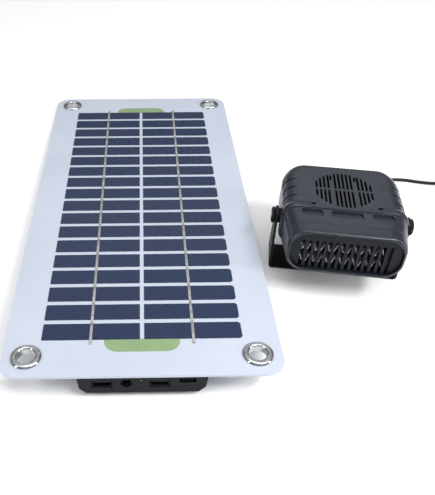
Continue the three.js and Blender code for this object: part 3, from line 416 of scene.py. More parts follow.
def sideways(shape):
    """A shape drawn in X and Y, with X turned to Y, Y to Z and its thickness to X."""
    return moved(shape, Matrix(((0, 0, 1, 0), (1, 0, 0, 0), (0, 1, 0, 0), (0, 0, 0, 1))))


def facing(shape, place, way):
    """A shape put at place, its Z axis turned to the front (way 1) or the rear (way -1)."""
    return moved(shape, Matrix.Translation(place) @ Matrix.Rotation(way * pi / 2, 4, "X"))


def tube(path, radius, sides=12):
    """A round tube along points."""
    path = [Vector(point) for point in path]
    angles = [2 * pi * k / sides for k in range(sides)]
    rings = []
    normal = None
    for i, point in enumerate(path):
        way = (path[min(i + 1, len(path) - 1)] - path[max(i - 1, 0)]).normalized()
        if normal is None:
            normal = way.orthogonal().normalized()
        normal = (normal - way * normal.dot(way)).normalized()
        side = way.cross(normal)
        rings.append([point + (normal * cos(a) + side * sin(a)) * radius for a in angles])
    return loft(rings)


def spline(points, per_span):
    """A centripetal Catmull-Rom curve through points."""
    def mix(a, b, low, high):
        return a * ((high - t) / (high - low)) + b * ((t - low) / (high - low))
    points = [Vector(point) for point in points]
    points = [2 * points[0] - points[1], *points, 2 * points[-1] - points[-2]]
    curve = []
    for i in range(1, len(points) - 2):
        p = points[i - 1:i + 3]
        knots = [0.0]
        for a, b in zip(p, p[1:]):
            knots.append(knots[-1] + (b - a).length ** 0.5)
        for step in range(per_span):
            t = knots[1] + (knots[2] - knots[1]) * step / per_span
            level = list(p)
            for width in (1, 2):
                level = [mix(level[k], level[k + 1], knots[k], knots[k + width])
                         for k in range(len(level) - 1)]
            curve.append(mix(*level, knots[1], knots[2]))
    return curve + [points[-2]]


def to_mesh(name, shape, matrix=None):
    mesh = bpy.data.meshes.new(name)
    mesh.from_pydata([tuple(corner) for corner in shape[0]], [], shape[1])
    built = bmesh.new()
    built.from_mesh(mesh)
    bmesh.ops.remove_doubles(built, verts=built.verts, dist=1e-4)
    bmesh.ops.recalc_face_normals(built, faces=built.faces)
    built.to_mesh(mesh)
    built.free()
    if matrix is not None:
        mesh.transform(matrix)
    return mesh


def combine(shape, others, operation):
    """shape after the same boolean operation with every one of others."""
    body = placed("body", to_mesh("body", shape))
    tools = []
    for other in others:
        tool = placed("tool", to_mesh("tool", other))
        modifier = body.modifiers.new("cut", "BOOLEAN")
        modifier.operation = operation
        modifier.solver = "MANIFOLD"
        modifier.object = tool
        tools.append(tool)
    bpy.context.view_layer.update()
    result = body.evaluated_get(bpy.context.evaluated_depsgraph_get()).data
    corners = [tuple(vertex.co) for vertex in result.vertices]
    faces = [tuple(face.vertices) for face in result.polygons]
    for thing in (body, *tools):
        mesh = thing.data
        bpy.data.objects.remove(thing)
        bpy.data.meshes.remove(mesh)
    return corners, faces


def carve(shape, *cutters):
    return combine(shape, cutters, "DIFFERENCE")


# --- pieces ---
def dress(obj, paint, slot, body, replaces, bevel=0.0, sharp=35, segments=2):
    """Finishes a piece: its edges, shading, material, and the body that it rides on."""
    obj.data.materials.clear()
    obj.data.materials.append(PAINT[paint])
    obj.data.shade_smooth()
    if bevel:
        rounding = obj.modifiers.new("edges", "BEVEL")
        rounding.width = bevel * MM
        rounding.segments = segments
        rounding.limit_method = "ANGLE"
        rounding.angle_limit = radians(sharp)
        rounding.harden_normals = True
        rounding.miter_outer = "MITER_ARC"
    obj.data.set_sharp_from_angle(angle=radians(sharp))
    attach(obj, body)
    if replaces:
        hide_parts(*replaces)
    return obj


def piece(name, shape, where, paint, body, replaces=(), slot=None, **edges):
    """A new piece in a frame; its slot argument is not used."""
    obj = placed(name, to_mesh(name, shape, where))
    return dress(obj, paint, slot or paint, body, replaces, **edges)


def refined(node, paint, body, bevel, slot=None):
    """A copy of a CAD node with whole flat faces and rounded edges, which stands for it."""
    mesh = frame["nodes"][node].data.copy()
    built = bmesh.new()
    built.from_mesh(mesh)
    bmesh.ops.remove_doubles(built, verts=built.verts, dist=1e-6)
    bmesh.ops.dissolve_limit(built, angle_limit=radians(0.5), verts=built.verts,
                             edges=built.edges)
    built.to_mesh(mesh)
    built.free()
    custom = mesh.attributes.get("custom_normal")
    if custom is not None:
        mesh.attributes.remove(custom)
    dress(placed(f"{node}_detailed", mesh), paint, slot or paint, body, [node], bevel, sharp=30)


# --- lead ---
CORD_RADIUS = 0.0015
LEAD_ROUTE = [
    (0.1432, -0.0134, 0.0444), (0.1440, -0.0086, 0.0439), (0.1450, -0.0032, 0.0415),
    (0.1468, 0.0030, 0.0359), (0.1496, 0.0098, 0.0269), (0.1534, 0.0170, 0.0173),
    (0.1588, 0.0247, 0.0089), (0.1658, 0.0324, 0.0037), (0.1745, 0.0388, 0.0019),
    (0.1845, 0.0426, 0.00155), (0.1965, 0.0440, 0.00155), (0.2090, 0.0429, 0.00155),
    (0.2210, 0.0396, 0.00155), (0.2330, 0.0370, 0.0017), (0.2430, 0.0362, 0.0021),
    (0.2508, 0.0361, 0.0025),
]
TAIL_ROUTE = [
    (0.2816, 0.0053, 0.0110), (0.2816, -0.0015, 0.0092), (0.2816, -0.0085, 0.0064),
    (0.2816, -0.0157, 0.0052),
]
COIL_CENTRE = (0.262, 0.0165)
COIL_TURNS = 12
COIL_COLUMNS = 3
COIL_OUTER = 0.0196  # radius of the outermost turn's centreline
COIL_FIRST = 0.0025  # height of the lowest turns
TURN_SPACING = 0.00305
STEPS_PER_TURN = 48
SHIFT_SHARE = 0.3  # share of each turn over which it moves to the next place
LIFT_BULGE = 0.0016  # how far a turn swings out as it climbs to the next layer
LEAD_STEPS, TAIL_STEPS = 5, 6  # steps between the points of each route
STRAP_ANGLE = 0.62 * 180  # where the tie sits round the coil, in degrees
PLUG_BACK = (281.6, -16, 5.1)  # millimetres
PLUG_RIBS, RIB_PITCH = 6, 2.2


def coil_seat(turn):
    """Radius and height of a turn: layers filled inwards, then outwards, by turns."""
    layer, place = divmod(turn, COIL_COLUMNS)
    column = place if layer % 2 == 0 else COIL_COLUMNS - 1 - place
    return COIL_OUTER - column * TURN_SPACING, COIL_FIRST + layer * TURN_SPACING


def coil_points():
    """The wound turns, clockwise from the far side to the right-hand side."""
    points = []
    total = (COIL_TURNS - 1) * STEPS_PER_TURN + STEPS_PER_TURN // 4
    for step in range(1, total):
        turn, share = divmod(step / STEPS_PER_TURN, 1)
        radius, height = coil_seat(int(turn))
        moving = (share - 1 + SHIFT_SHARE) / SHIFT_SHARE
        if moving > 0 and turn + 1 < COIL_TURNS:
            t = moving * moving * (3 - 2 * moving)
            next_radius, next_height = coil_seat(int(turn) + 1)
            side = -1 if radius < COIL_OUTER - TURN_SPACING else 1
            bulge = LIFT_BULGE * sin(pi * moving) if next_height > height else 0
            radius += (next_radius - radius) * t + side * bulge
            height += (next_height - height) * t
        angle = pi / 2 - 2 * pi * step / STEPS_PER_TURN
        points.append((COIL_CENTRE[0] + radius * cos(angle),
                       COIL_CENTRE[1] + radius * sin(angle), height))
    return points


def add_cord():
    turns = coil_points()
    start = spline([*LEAD_ROUTE, turns[0]], LEAD_STEPS)[:-1]
    end = spline([turns[-1], *TAIL_ROUTE], TAIL_STEPS)[1:]
    path = [Vector(point) for point in (*start, *turns, *end)]
    jacket = tube([point / MM for point in path], CORD_RADIUS / MM)
    obj = placed("cord", to_mesh("cord", jacket, WORLD))
    obj.data.materials.append(PAINT["cord_jacket"])
    obj.data.shade_smooth()
    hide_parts("cord_lead", "cord_coil", "cord_tail")
    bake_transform(obj)
    plug, metal = plug_pieces()
    tie = strap_tie()


def plug_pieces():
    """The moulded plug with its grip ribs, and its plated barrel."""
    grip = [(0, 0), (2.1, 0), (2.2, 1.6), (2.6, 8), (4.3, 9.6)]
    for i in range(PLUG_RIBS):
        z = 11.5 + i * RIB_PITCH
        grip += [(4.75, z - 0.8), (4.75, z + 0.3), (4.4, z + 0.6), (4.4, z + 1.0)]
    grip += [(4.75, 25.2), (4.7, 26.2), (4.2, 27), (0, 27)]
    tip = [(0, 27.1), (2.75, 27.1), (2.75, 27.6), (2.6, 27.8), (2.6, 28.2), (2.75, 28.4),
           (2.75, 36.4), (2.3, 36.8), (1.3, 36.8), (1.15, 36.6), (1.15, 29), (0, 29)]
    return (piece("plug_grip", facing(lathe(grip), PLUG_BACK, 1), WORLD, "cord_jacket", "base",
                  ["plug_body"]),
            piece("plug_tip", facing(lathe(tip), PLUG_BACK, 1), WORLD, "steel", "base",
                  ["plug_barrel"]))


def strap_tie():
    """A flat strap round the bundle of turns, with a small buckle on top."""
    middle_r = COIL_OUTER / MM - TURN_SPACING / MM
    middle_z = COIL_FIRST / MM + 1.5 * TURN_SPACING / MM
    outline = rounded(11.2, 14.0, 1.6, middle_r, middle_z)
    hole = rounded(10.0, 12.8, 1.2, middle_r, middle_z)
    strap = upright(plate(outline, -2, 2, [hole]))
    buckle = block(5.2, 5, 1.6, middle_r, 0, middle_z + 7.2)
    stub = block(3.6, 2.6, 0.9, middle_r + 3.9, 0, middle_z + 7.4)
    lay = (Matrix.Translation((COIL_CENTRE[0] / MM, COIL_CENTRE[1] / MM, 0))
           @ Matrix.Rotation(radians(STRAP_ANGLE), 4, "Z"))
    return piece("cord_strap", moved(merge(strap, buckle, stub), lay), WORLD, "rubber", "base",
                 ["cord_tie"], bevel=0.15)


add_cord()

# --- stage ---
FLOOR_SIDE, FLOOR_ROUND = 9000, 500
FLOOR_DROP = 0.0002  # keeps the floor clear of the feet
FLOOR_SHAPE = plate(rounded(FLOOR_SIDE, FLOOR_SIDE, FLOOR_ROUND), -1, 0)
SOFTBOXES = (  # name, place, target, width, height, power
    ("key", (-0.1, -0.15, 1.5), (0, 0, 0), 1.2, 0.7, 5.0),
    ("strip", (0.42, -0.45, 0.8), (0.1, -0.12, 0.06), 0.5, 0.12, 5.5),
    ("back", (0.1, 1.4, 1.0), (0.05, 0, 0.03), 1.6, 0.4, 1.5),
    ("front", (0.0, -1.3, 0.45), (0.1, -0.1, 0.04), 1.2, 0.3, 0.6),
    ("right", (1.1, -0.45, 0.5), (0.1, -0.07, 0.04), 0.12, 0.9, 4.5),
    ("left", (-1.1, -0.7, 0.5), (0.1, -0.07, 0.04), 0.12, 0.9, 4.5),
)

floor = placed("floor", to_mesh("floor", FLOOR_SHAPE, WORLD))
floor.data.materials.append(mottled_paint(
    "floor", (0.96, 0.96, 0.96), 0.7,
    cloud=(0.3, 2, (0.955, 0.956, 0.96), (0.965, 0.965, 0.967))))
floor.location.z = -FLOOR_DROP

world = bpy.data.worlds.new("studio")
bpy.context.scene.world = world
studio = Nodes(world)
background = studio.tree.nodes["Background"]
background.inputs["Color"].default_value = (0.98, 0.99, 1.0, 1)
# The studio is bright overhead and dim towards its walls.
sky = studio.node("ShaderNodeTexCoord").outputs["Generated"]
level = studio.node("ShaderNodeSeparateXYZ", {"Vector": sky}).outputs["Z"]
studio.feed(background.inputs["Strength"], studio.spread(level, 0.24, 1.05, 0.5, 0.95))
bpy.context.scene.view_settings.view_transform = "Standard"


for name, place, target, width, height, power in SOFTBOXES:
    light = bpy.data.lights.new(name, "AREA")
    light.shape = "RECTANGLE"
    light.size, light.size_y = width, height
    light.energy = power
    obj = placed(name, light)
    obj.location = place
    obj.rotation_euler = (Vector(target) - Vector(place)).to_track_quat("-Z", "Y").to_euler()

# --- panel ---
PANEL_WIDTH, PANEL_LENGTH, PANEL_CORNER = 200, 430, 14
BOARD_TOP = 2.1
EYELET_INSET = 18
CELL_ROWS, CELL_PITCH = 18, 20.17
CELL_WIDTH, CELL_LENGTH = 71.6, 16.2
CELL_CLIPS = (0.6, 1.7)  # the left column's corners are nearly square
COLUMN_X = 37.4  # centre line of each column of cells
ARRAY_START = 33.5 - PANEL_LENGTH / 2
PRINT_TOP = 2.28
CELL_LOW, CELL_TOP = 2.34, 2.5
BOARD_BORE = 8
RIBBON_WIDTH, RIBBON_TAB = 2.0, 4.5
RIBBON_THICK, RIBBON_CROWN = 0.11, 0.05
LABEL_WIDTH, LABEL_REACH, LABEL_UNDER, LABEL_ROUND = 55, 11.5, 0.6, 10


def panel_corners():
    for across, side in SIDES:
        for end, along in (("near", -1), ("far", 1)):
            yield (f"{end}_{side}", across * (PANEL_WIDTH / 2 - EYELET_INSET),
                   along * (PANEL_LENGTH / 2 - EYELET_INSET))


def add_board():
    outline = rounded(PANEL_WIDTH, PANEL_LENGTH, PANEL_CORNER, steps=16)
    holes = [arc(x, y, BOARD_BORE, 0, 360, 48)[:-1] for _, x, y in panel_corners()]
    piece("board", plate(outline, 0, BOARD_TOP, holes), PANEL, "laminate", "base", ["panel_board"],
          bevel=0.35, segments=3)


def cell_outline(side, low):
    """One cell: its two outer corners are clipped."""
    half, high = CELL_WIDTH / 2, low + CELL_LENGTH
    clip = CELL_CLIPS[side > 0]
    points = [(-half, low), (half - clip, low), (half, low + clip),
              (half, high - clip), (half - clip, high), (-half, high)]
    return [(COLUMN_X * side + x * side, y) for x, y in points]


def ribbon_shape(side):
    """Solder ribbon down a column: it lies on each cell and dips between the cells."""
    on, dip = CELL_TOP + 0.13, CELL_LOW + 0.05
    stations = [(ARRAY_START - RIBBON_TAB, dip)]
    for row in range(CELL_ROWS):
        low = ARRAY_START + row * CELL_PITCH
        stations += [(low - 0.9, dip), (low - 0.3, on), (low + CELL_LENGTH + 0.3, on),
                     (low + CELL_LENGTH + 0.9, dip)]
    stations.append((stations[-1][0] - 0.9 + RIBBON_TAB, dip))
    half = RIBBON_WIDTH / 2
    profile = [(-half, -RIBBON_THICK), (half, -RIBBON_THICK), (half, 0),
               (half * 0.6, RIBBON_CROWN), (-half * 0.6, RIBBON_CROWN), (-half, 0)]
    return loft([[(COLUMN_X * side + x, y, z + lift) for x, lift in profile] for y, z in stations])


def add_cells():
    for side, name in SIDES:
        cells = [plate(cell_outline(side, ARRAY_START + row * CELL_PITCH), CELL_LOW, CELL_TOP)
                 for row in range(CELL_ROWS)]
        piece(f"cells_{name}", merge(*cells), PANEL, "silicon", "base", [f"cell_string_{name}"],
              bevel=0.05, segments=1)
        piece(f"ribbon_{name}", ribbon_shape(side), PANEL, "ribbon", "base", slot="steel")


def add_labels():
    """Printed patches: straight against the cells, with large round corners outwards."""
    last = ARRAY_START + (CELL_ROWS - 1) * CELL_PITCH + CELL_LENGTH
    half, centre = LABEL_WIDTH / 2, LABEL_REACH - LABEL_ROUND
    outline = [(half, -LABEL_UNDER)]
    outline += arc(half - LABEL_ROUND, centre, LABEL_ROUND, 0, 90, 14)
    outline += arc(-half + LABEL_ROUND, centre, LABEL_ROUND, 90, 180, 14)
    outline.append((-half, -LABEL_UNDER))
    patch = plate(outline, BOARD_TOP + 0.01, PRINT_TOP)
    for name, shape in (("near", shifted(turned(patch, 180, "Z"), 0, ARRAY_START)),
                        ("far", shifted(patch, 0, last))):
        piece(f"print_{name}", shape, PANEL, "green_print", "base", [f"label_{name}"],
              bevel=0.04, segments=1)


def add_eyelets():
    """Pressed eyelets: a bored neck, a rolled rim with a crowned top, and a back washer."""
    bore, top = 6.5, BOARD_TOP
    rim = [(bore, -1.55), (bore, top + 0.2)]
    rim += arc(bore + 1.5, top + 0.65, 1.5, 180, 90, 8)
    rim += arc(9.0, top - 0.15, 2.3, 80, 20, 8)
    rim += arc(10.55, top + 0.75, 0.45, 0, -70, 4)
    rim += [(10.0, top + 0.3), (7.7, top + 0.3), (7.7, -1.4), (7.55, -1.6), (6.6, -1.6)]
    washer = [(8.0, -0.35), (8.0, -1.15)] + arc(9.4, -0.9, 0.4, 200, 300, 4)
    washer += arc(10.5, -0.8, 0.5, 270, 360, 4) + [(11, -0.35)]
    for corner, x, y in panel_corners():
        piece(f"eyelet_rim_{corner}", shifted(lathe(rim, 80), x, y), PANEL, "chrome", "base",
              [f"eyelet_{corner}"], sharp=50)
        piece(f"eyelet_back_{corner}", shifted(lathe(washer), x, y), PANEL, "chrome", "base",
              [f"eyelet_washer_{corner}"], sharp=50)


add_board()
add_cells()
add_labels()
add_eyelets()

# --- power box ---
BOX_FRONT = -212
USB_X = (-28.4, 12.3)
PORT_Z = -10.1
JACK_PLACE = (-11.2, BOX_FRONT + 2.1, -9.4)
LAMP_PLACE = (-0.9, BOX_FRONT + 2.2, -7.2)
CONTACTS, CONTACT_PITCH = 4, 2.5
FOOT_X, FEET_Y = 37.5, (("near", BOX_FRONT + 4.5), ("far", BOX_FRONT + 61.5))
LID_SCREW_X, LID_SCREW_Y = 30, BOX_FRONT + 57


def add_power_box():
    for node, paint, bevel in (
        ("box_housing", "black_plastic", 0.45), ("box_lid", "black_plastic", 0.3),
        ("circuit_board", "circuit_green", 0.1), ("usb_c_port", "steel", 0.08),
    ):
        refined(node, paint, "base", bevel)
    for x, (_, side) in zip(USB_X, SIDES):
        # The USB shells take the steel painted nearly black, as painted shade inside the ports.
        refined(f"usb_port_{side}", "steel_painted_shade", "base", 0.12, slot="steel")
        contacts = [block(1.1, 7.4, 0.12, x + (i - (CONTACTS - 1) / 2) * CONTACT_PITCH,
                          BOX_FRONT + 6.4, PORT_Z - 0.06) for i in range(CONTACTS)]
        piece(f"usb_contacts_{side}", merge(*contacts), PANEL, "gold", "base", slot="steel",
              bevel=0.04)
        tongue = block(11.4, 0.8, 2.0, x, BOX_FRONT + 1.9, PORT_Z + 0.9)
        piece(f"usb_tongue_{side}", tongue, PANEL, "black_plastic", "base", bevel=0.2)
    ring = [(3.1, 0), (4.2, 0), (4.2, -0.5), (3.9, -0.7), (3.35, -0.7), (3.1, -0.45)]
    refined("power_jack", "black_plastic", "base", 0.15)
    piece("jack_rim", facing(lathe(ring, 40), JACK_PLACE, -1), PANEL, "black_plastic", "base")
    lens = [(0, 0), (1.35, 0), (1.35, 0.9)] + arc(0, 0.9, 1.35, 0, 80, 6)[1:] + [(0, 2.25)]
    piece("lamp_lens", facing(lathe(lens, 32), LAMP_PLACE, 1), PANEL, "clear_lens", "base",
          ["charge_lamp"])


def add_box_fittings():
    foot = [(0, -20.75), (1.8, -20.75), (2.15, -20.4), (2.2, -19.85), (0, -19.85)]
    head = [(0, -18.2), (0.9, -18.4), (1.0, -19.0), (2.0, -19.0), (2.3, -18.7), (2.3, -17.62),
            (0.95, -17.6), (0.95, -4.2), (0, -3.7)]
    for across, side in SIDES:
        for end, y in FEET_Y:
            piece(f"foot_{end}_{side}", shifted(lathe(foot, 40), across * FOOT_X, y), PANEL,
                  "rubber", "base", [f"box_foot_{end}_{side}"])
        piece(f"lid_screw_{side}", shifted(lathe(head, 32), across * LID_SCREW_X, LID_SCREW_Y),
              PANEL, "steel", "base", [f"box_screw_{side}"])
    for node, paint in (("inductor", "copper"), ("capacitor", "black_plastic"),
                        ("panel_lead", "rubber")):
        refined(node, paint, "base", 0.08)


add_power_box()
add_box_fittings()

# --- head casing ---
HEAD_FRONT, SEAM, HEAD_REAR = -46, -13, 54
HALF_WIDTH, HALF_HEIGHT, WALL = 49.5, 20, 2
LIP_LENGTH, LIP_CLOSE = 3.2, 2.1  # the rounded edge round the outlet
CAP_TAPER = 4.5  # each side of the cap leans in this far towards the front
REAR_ROUND, REAR_CLOSE = 20, 13  # how the sides close in at the rear
EDGE_ROUND, EDGE_CLOSE = 5, 3  # and the top and bottom
FRONT_CORNER, CORNER_LOSS = 15, 3  # corner radius at the front, and its loss towards the middle
COLLAR_HEIGHT, RIB_HEIGHT, RIB_PITCH_X = 1.1, 0.12, 3.75
SHELL_SPLIT, GAP = -7, 0.3
CUT_IN, CUT_OUT = 5, 3  # how far a slot's cutter stands in and out of the top
INTAKE_Y, INTAKE_RADIUS = 16, 25.6
SLOT_PITCH, SLOT_WIDTH, SLOT_GROUP = 3.3, 1.75, 17.2
SLOT_BAR = 1.1  # half the bar between the two rows
REAR_SLOT_Y, REAR_SLOT_LENGTH = 17.6, 7.5
GROOVES_Y = (3.2, 15.3, 27.5)
GROOVE_RADIUS, GROOVE_SINK, GROOVE_RUN_OUT = 1.25, 0.45, 1.6
GROOVE_TOP_X = 39.6
SCREW_X, SCREW_Y = 26.4, -7
PIVOT_BORE = 2.3
SWITCH_X, SWITCH_Z = -23, 1.2
SWITCH_OPENING = (19.6, 10, 12.6)
GLAND, GLAND_BORE = (28, HEAD_REAR, 1), 3.1
CORNER_STEPS, TOP_STEPS, SIDE_STEPS = 14, 60, 8
SPACE = 200  # side of a block that takes away half the head


def clamp(value):
    return max(0.0, min(1.0, value))


def ease(value, low, high):
    """0 below low, 1 above high, smooth between."""
    t = clamp((value - low) / (high - low))
    return t * t * (3 - 2 * t)


def section(y):
    """Half width, half height and corner radius of the head at depth y."""
    def rounding(t, depth):
        return depth * (1 - sqrt(1 - t * t))
    rear = clamp((y - HEAD_REAR + REAR_ROUND) / REAR_ROUND)
    edge = clamp((y - HEAD_REAR + EDGE_ROUND) / EDGE_ROUND)
    nose = clamp((HEAD_FRONT + LIP_LENGTH - y) / LIP_LENGTH)
    taper = CAP_TAPER * max(0.0, (SEAM - y) / (SEAM - HEAD_FRONT))
    half_width = HALF_WIDTH - taper - rounding(rear, REAR_CLOSE) - rounding(nose, LIP_CLOSE)
    half_height = HALF_HEIGHT - rounding(edge, EDGE_CLOSE) - rounding(nose, LIP_CLOSE)
    return half_width, half_height, FRONT_CORNER - CORNER_LOSS * ease(y, HEAD_FRONT, 0)


def head_ring(y, inset=0.0, at=None, relief=None):
    """Points round the head: the section at depth at, drawn at depth y."""
    width, height, corner = section(y if at is None else at)
    flat_x, flat_z = width - corner, height - corner
    points = []
    for quarter, (sx, sz) in enumerate(QUARTERS):
        cx, cz = sx * flat_x, sz * flat_z
        for i in range(CORNER_STEPS + 1):
            angle = radians(90 * (quarter + i / CORNER_STEPS))
            points.append((cx, cz, cos(angle), sin(angle)))
        steps, end_x, end_z = (SIDE_STEPS, cx, -cz) if quarter % 2 else (TOP_STEPS, -cx, cz)
        for share in (i / steps for i in range(1, steps)):
            points.append((cx + (end_x - cx) * share, cz + (end_z - cz) * share,
                           *points[-1][2:]))
    ring = []
    for cx, cz, nx, nz in points:
        x, z = cx + nx * corner, cz + nz * corner
        lift = (relief(x, y, z) if relief else 0) - inset
        ring.append((x + nx * lift, y, z + nz * lift))
    return ring


def casing_relief(x, y, z):
    """A rolled collar behind the seam, strongest over the shoulders, and fine ribs at the rear."""
    collar = ease(abs(x), 22, 34) * ease(y, SEAM, SEAM + 3) * (1 - ease(y, SEAM + 4, SEAM + 8))
    ribs = 0.0
    if z > HALF_HEIGHT - 6:
        fade = ease(y, 40, 43) * (1 - ease(abs(x), 32, 36)) * (1 - ease(y, 50, 52))
        ribs = RIB_HEIGHT * fade * cos(2 * pi * x / RIB_PITCH_X)
    return COLLAR_HEIGHT * collar + ribs


def casing_shape():
    flat = HEAD_REAR - EDGE_ROUND
    ys = [SEAM + 0.35 + i for i in range(flat - SEAM)]
    tail = [flat + EDGE_ROUND * sin(radians(a)) for a in range(0, 91, 9)]
    outer = [head_ring(SEAM, 0.35), head_ring(SEAM + 0.1, 0.12)]
    outer += [head_ring(y, relief=casing_relief) for y in (*ys, *tail)]
    inner = [head_ring(y, WALL) for y in (HEAD_REAR - WALL, 49, 45, 40, 34, 12, SEAM)]
    return loft([*inner, *outer])


def slot_cutter(x, y, length):
    outline = rounded(SLOT_WIDTH, length, SLOT_WIDTH / 2 - 0.05, x, y, steps=4)
    return plate(outline, HALF_HEIGHT - CUT_IN, HALF_HEIGHT + CUT_OUT)


def intake_slots():
    """Three groups of slots within a circle, in two rows."""
    slots = []
    for group, count in ((-1, 4), (0, 5), (1, 4)):
        for row in (-1, 1):
            for i in range(count):
                x = group * SLOT_GROUP + (i - (count - 1) / 2) * SLOT_PITCH
                reach = sqrt(INTAKE_RADIUS ** 2 - (abs(x) + SLOT_WIDTH / 2) ** 2) - SLOT_BAR
                slots.append(slot_cutter(x, INTAKE_Y + row * (SLOT_BAR + reach / 2), reach))
    for side in (-1, 1):  # the middle group widens towards the rear
        slots.append(slot_cutter(side * 3 * SLOT_PITCH, INTAKE_Y + REAR_SLOT_Y, REAR_SLOT_LENGTH))
    return merge(*slots)


def shoulder_grooves():
    """Six round grooves over the shoulders and down the sides."""
    cutters = []
    for y in GROOVES_Y:
        width, height, corner = section(y)
        bend, side_x = corner - GROOVE_SINK, width - GROOVE_SINK
        path = [(GROOVE_TOP_X - 2, y, height + GROOVE_RUN_OUT), (GROOVE_TOP_X, y, height)]
        path += [(width - corner + bend * sin(a), y, height - corner + bend * cos(a))
                 for a in (radians(14 + 76 * i / 12) for i in range(13))]
        path += [(side_x, y, 4), (side_x, y, 0), (width + GROOVE_RUN_OUT, y, -2.6)]
        for side in (1, -1):
            cutters.append(tube([(side * px, py, pz) for px, py, pz in path], GROOVE_RADIUS, 16))
    return merge(*cutters)


def rod_cutter(radius, low, high, x, y, z, axis):
    """A round cutter along Y or X."""
    rod = lathe([(0, low), (radius, low), (radius, high), (0, high)], 40)
    return shifted(turned(rod, -90 if axis == "X" else 90, axis), x, y, z)


def add_casing():
    well = lathe([(0, 6), (1.95, 6), (1.95, HALF_HEIGHT - 0.35), (2.3, HALF_HEIGHT + 0.05),
                  (2.3, 26), (0, 26)], 32)
    whole = carve(
        casing_shape(), intake_slots(), shoulder_grooves(),
        merge(*[shifted(well, side * SCREW_X, SCREW_Y) for side in (-1, 1)]),
        merge(rod_cutter(PIVOT_BORE, 40, 60, 0, 0, 0, "Y"),
              rod_cutter(PIVOT_BORE, -60, -40, 0, 0, 0, "Y")),
        block(*SWITCH_OPENING, SWITCH_X, HEAD_REAR, SWITCH_Z),
        rod_cutter(GLAND_BORE, -6, 6, *GLAND, "X"),
    )
    for name, way in (("top", -1), ("bottom", 1)):
        other = block(SPACE, SPACE, SPACE, 0, 0, SHELL_SPLIT - way * GAP / 2 + way * SPACE / 2)
        piece(f"{name}_casing", carve(whole, other), HEAD, "slate_plastic", "head",
              [f"{name}_shell"], bevel=0.22, sharp=38)


# --- front cap and outlet ---
OUTLET_SLOTS, OUTLET_PITCH, OUTLET_SLOT = 14, 5.1, 2.8
OUTLET_LOW, OUTLET_HIGH = -17, 10
WINDOWS = ((-27.5, 16), (0, 24), (27.5, 16))
WINDOW_DEPTH, WINDOW_RISE = 1.8, 1.6
STEP_Y, STEP_DROP, CAP_DROP = -34, 0.22, 0.08  # a fine step across the cap, under the casing
BORE_SECTION = HEAD_FRONT + 4  # depth of the section that the outlet's bore follows
BORE_INSET, GRILLE_INSET = WALL + 0.3, WALL + 1.1
GRILLE_Y = HEAD_FRONT + 2.6


def cap_relief(x, y, z):
    return -CAP_DROP - STEP_DROP * ease(y, STEP_Y - 0.3, STEP_Y + 0.5)


def cap_shape():
    nose = [HEAD_FRONT + LIP_LENGTH * (1 - sin(radians(a))) for a in range(90, -1, -9)]
    seam = SEAM - GAP
    ys = [*nose, *range(HEAD_FRONT + 5, HEAD_FRONT + 12), -34.3, -34, -33.6,
          *range(-33, -14), seam - 0.35]
    outer = [head_ring(y, relief=cap_relief) for y in ys]
    outer += [head_ring(seam - 0.1, 0.45), head_ring(seam, 0.7)]
    bore = [(seam, 0.0), (-28, 0.0), (HEAD_FRONT + 0.9, 0.0), (HEAD_FRONT + 0.25, -0.1)]
    inner = [head_ring(y, BORE_INSET + more, at=max(y, BORE_SECTION)) for y, more in bore]
    front = [head_ring(HEAD_FRONT, LIP_CLOSE + 0.05, at=HEAD_FRONT + LIP_LENGTH)]
    return loft([*outer, *inner, *front], wrap=True)


def window_cutters():
    cutters = []
    for x, width in WINDOWS:
        near, far = width / 2 - 1, width / 2
        outline = [(x - near - 2, SEAM - 11), (x + near + 2, SEAM - 11), (x + far, SEAM - 3.2),
                   (x + far - 1, SEAM - 2), (x - far + 1, SEAM - 2), (x - far, SEAM - 3.2)]
        corners, faces = plate(outline, HALF_HEIGHT - WINDOW_DEPTH, HALF_HEIGHT + CUT_OUT)
        # The floor of a window rises to meet the cap towards the front.
        sloped = [(cx, cy, cz + WINDOW_RISE * ease(-cy, 17, 24) if cz < HALF_HEIGHT else cz)
                  for cx, cy, cz in corners]
        cutters.append((sloped, faces))
    return merge(*cutters)


def add_front():
    cap = carve(cap_shape(), window_cutters())
    piece("cap", cap, HEAD, "slate_plastic", "head", ["front_cap"], bevel=0.18, sharp=40)
    outline = [(x, z) for x, _, z in head_ring(0, GRILLE_INSET, at=BORE_SECTION)]
    middle = (OUTLET_HIGH + OUTLET_LOW) / 2
    slots = [rounded(OUTLET_SLOT, OUTLET_HIGH - OUTLET_LOW, 1.2,
                     (i - (OUTLET_SLOTS - 1) / 2) * OUTLET_PITCH, middle, steps=5)
             for i in range(OUTLET_SLOTS)]
    grille = shifted(upright(plate(outline, -2, 0, slots)), 0, GRILLE_Y)
    # The grille takes the slate plastic painted darker, as painted shade in its recess.
    piece("grille", grille, HEAD, "slate_painted_shade", "head", ["outlet_grille"], slot="slate_plastic",
          bevel=0.3, sharp=50, segments=3)


add_casing()
add_front()

# --- heater ---
FIN_LEFT, FIN_RIGHT, FIN_MIDDLE = -36, 29.5, -4.2
FIN_FRONT, FIN_BACK, FIN_HEIGHT = HEAD_FRONT + 5.5, HEAD_FRONT + 14, 9
FIN_FOLDS, FIN_THICKNESS = 38, 0.7
FIN_SWAY, FIN_DROP = 0.45, 1.1  # how far a fold is out of place, across and in height
STRIP = 1.6


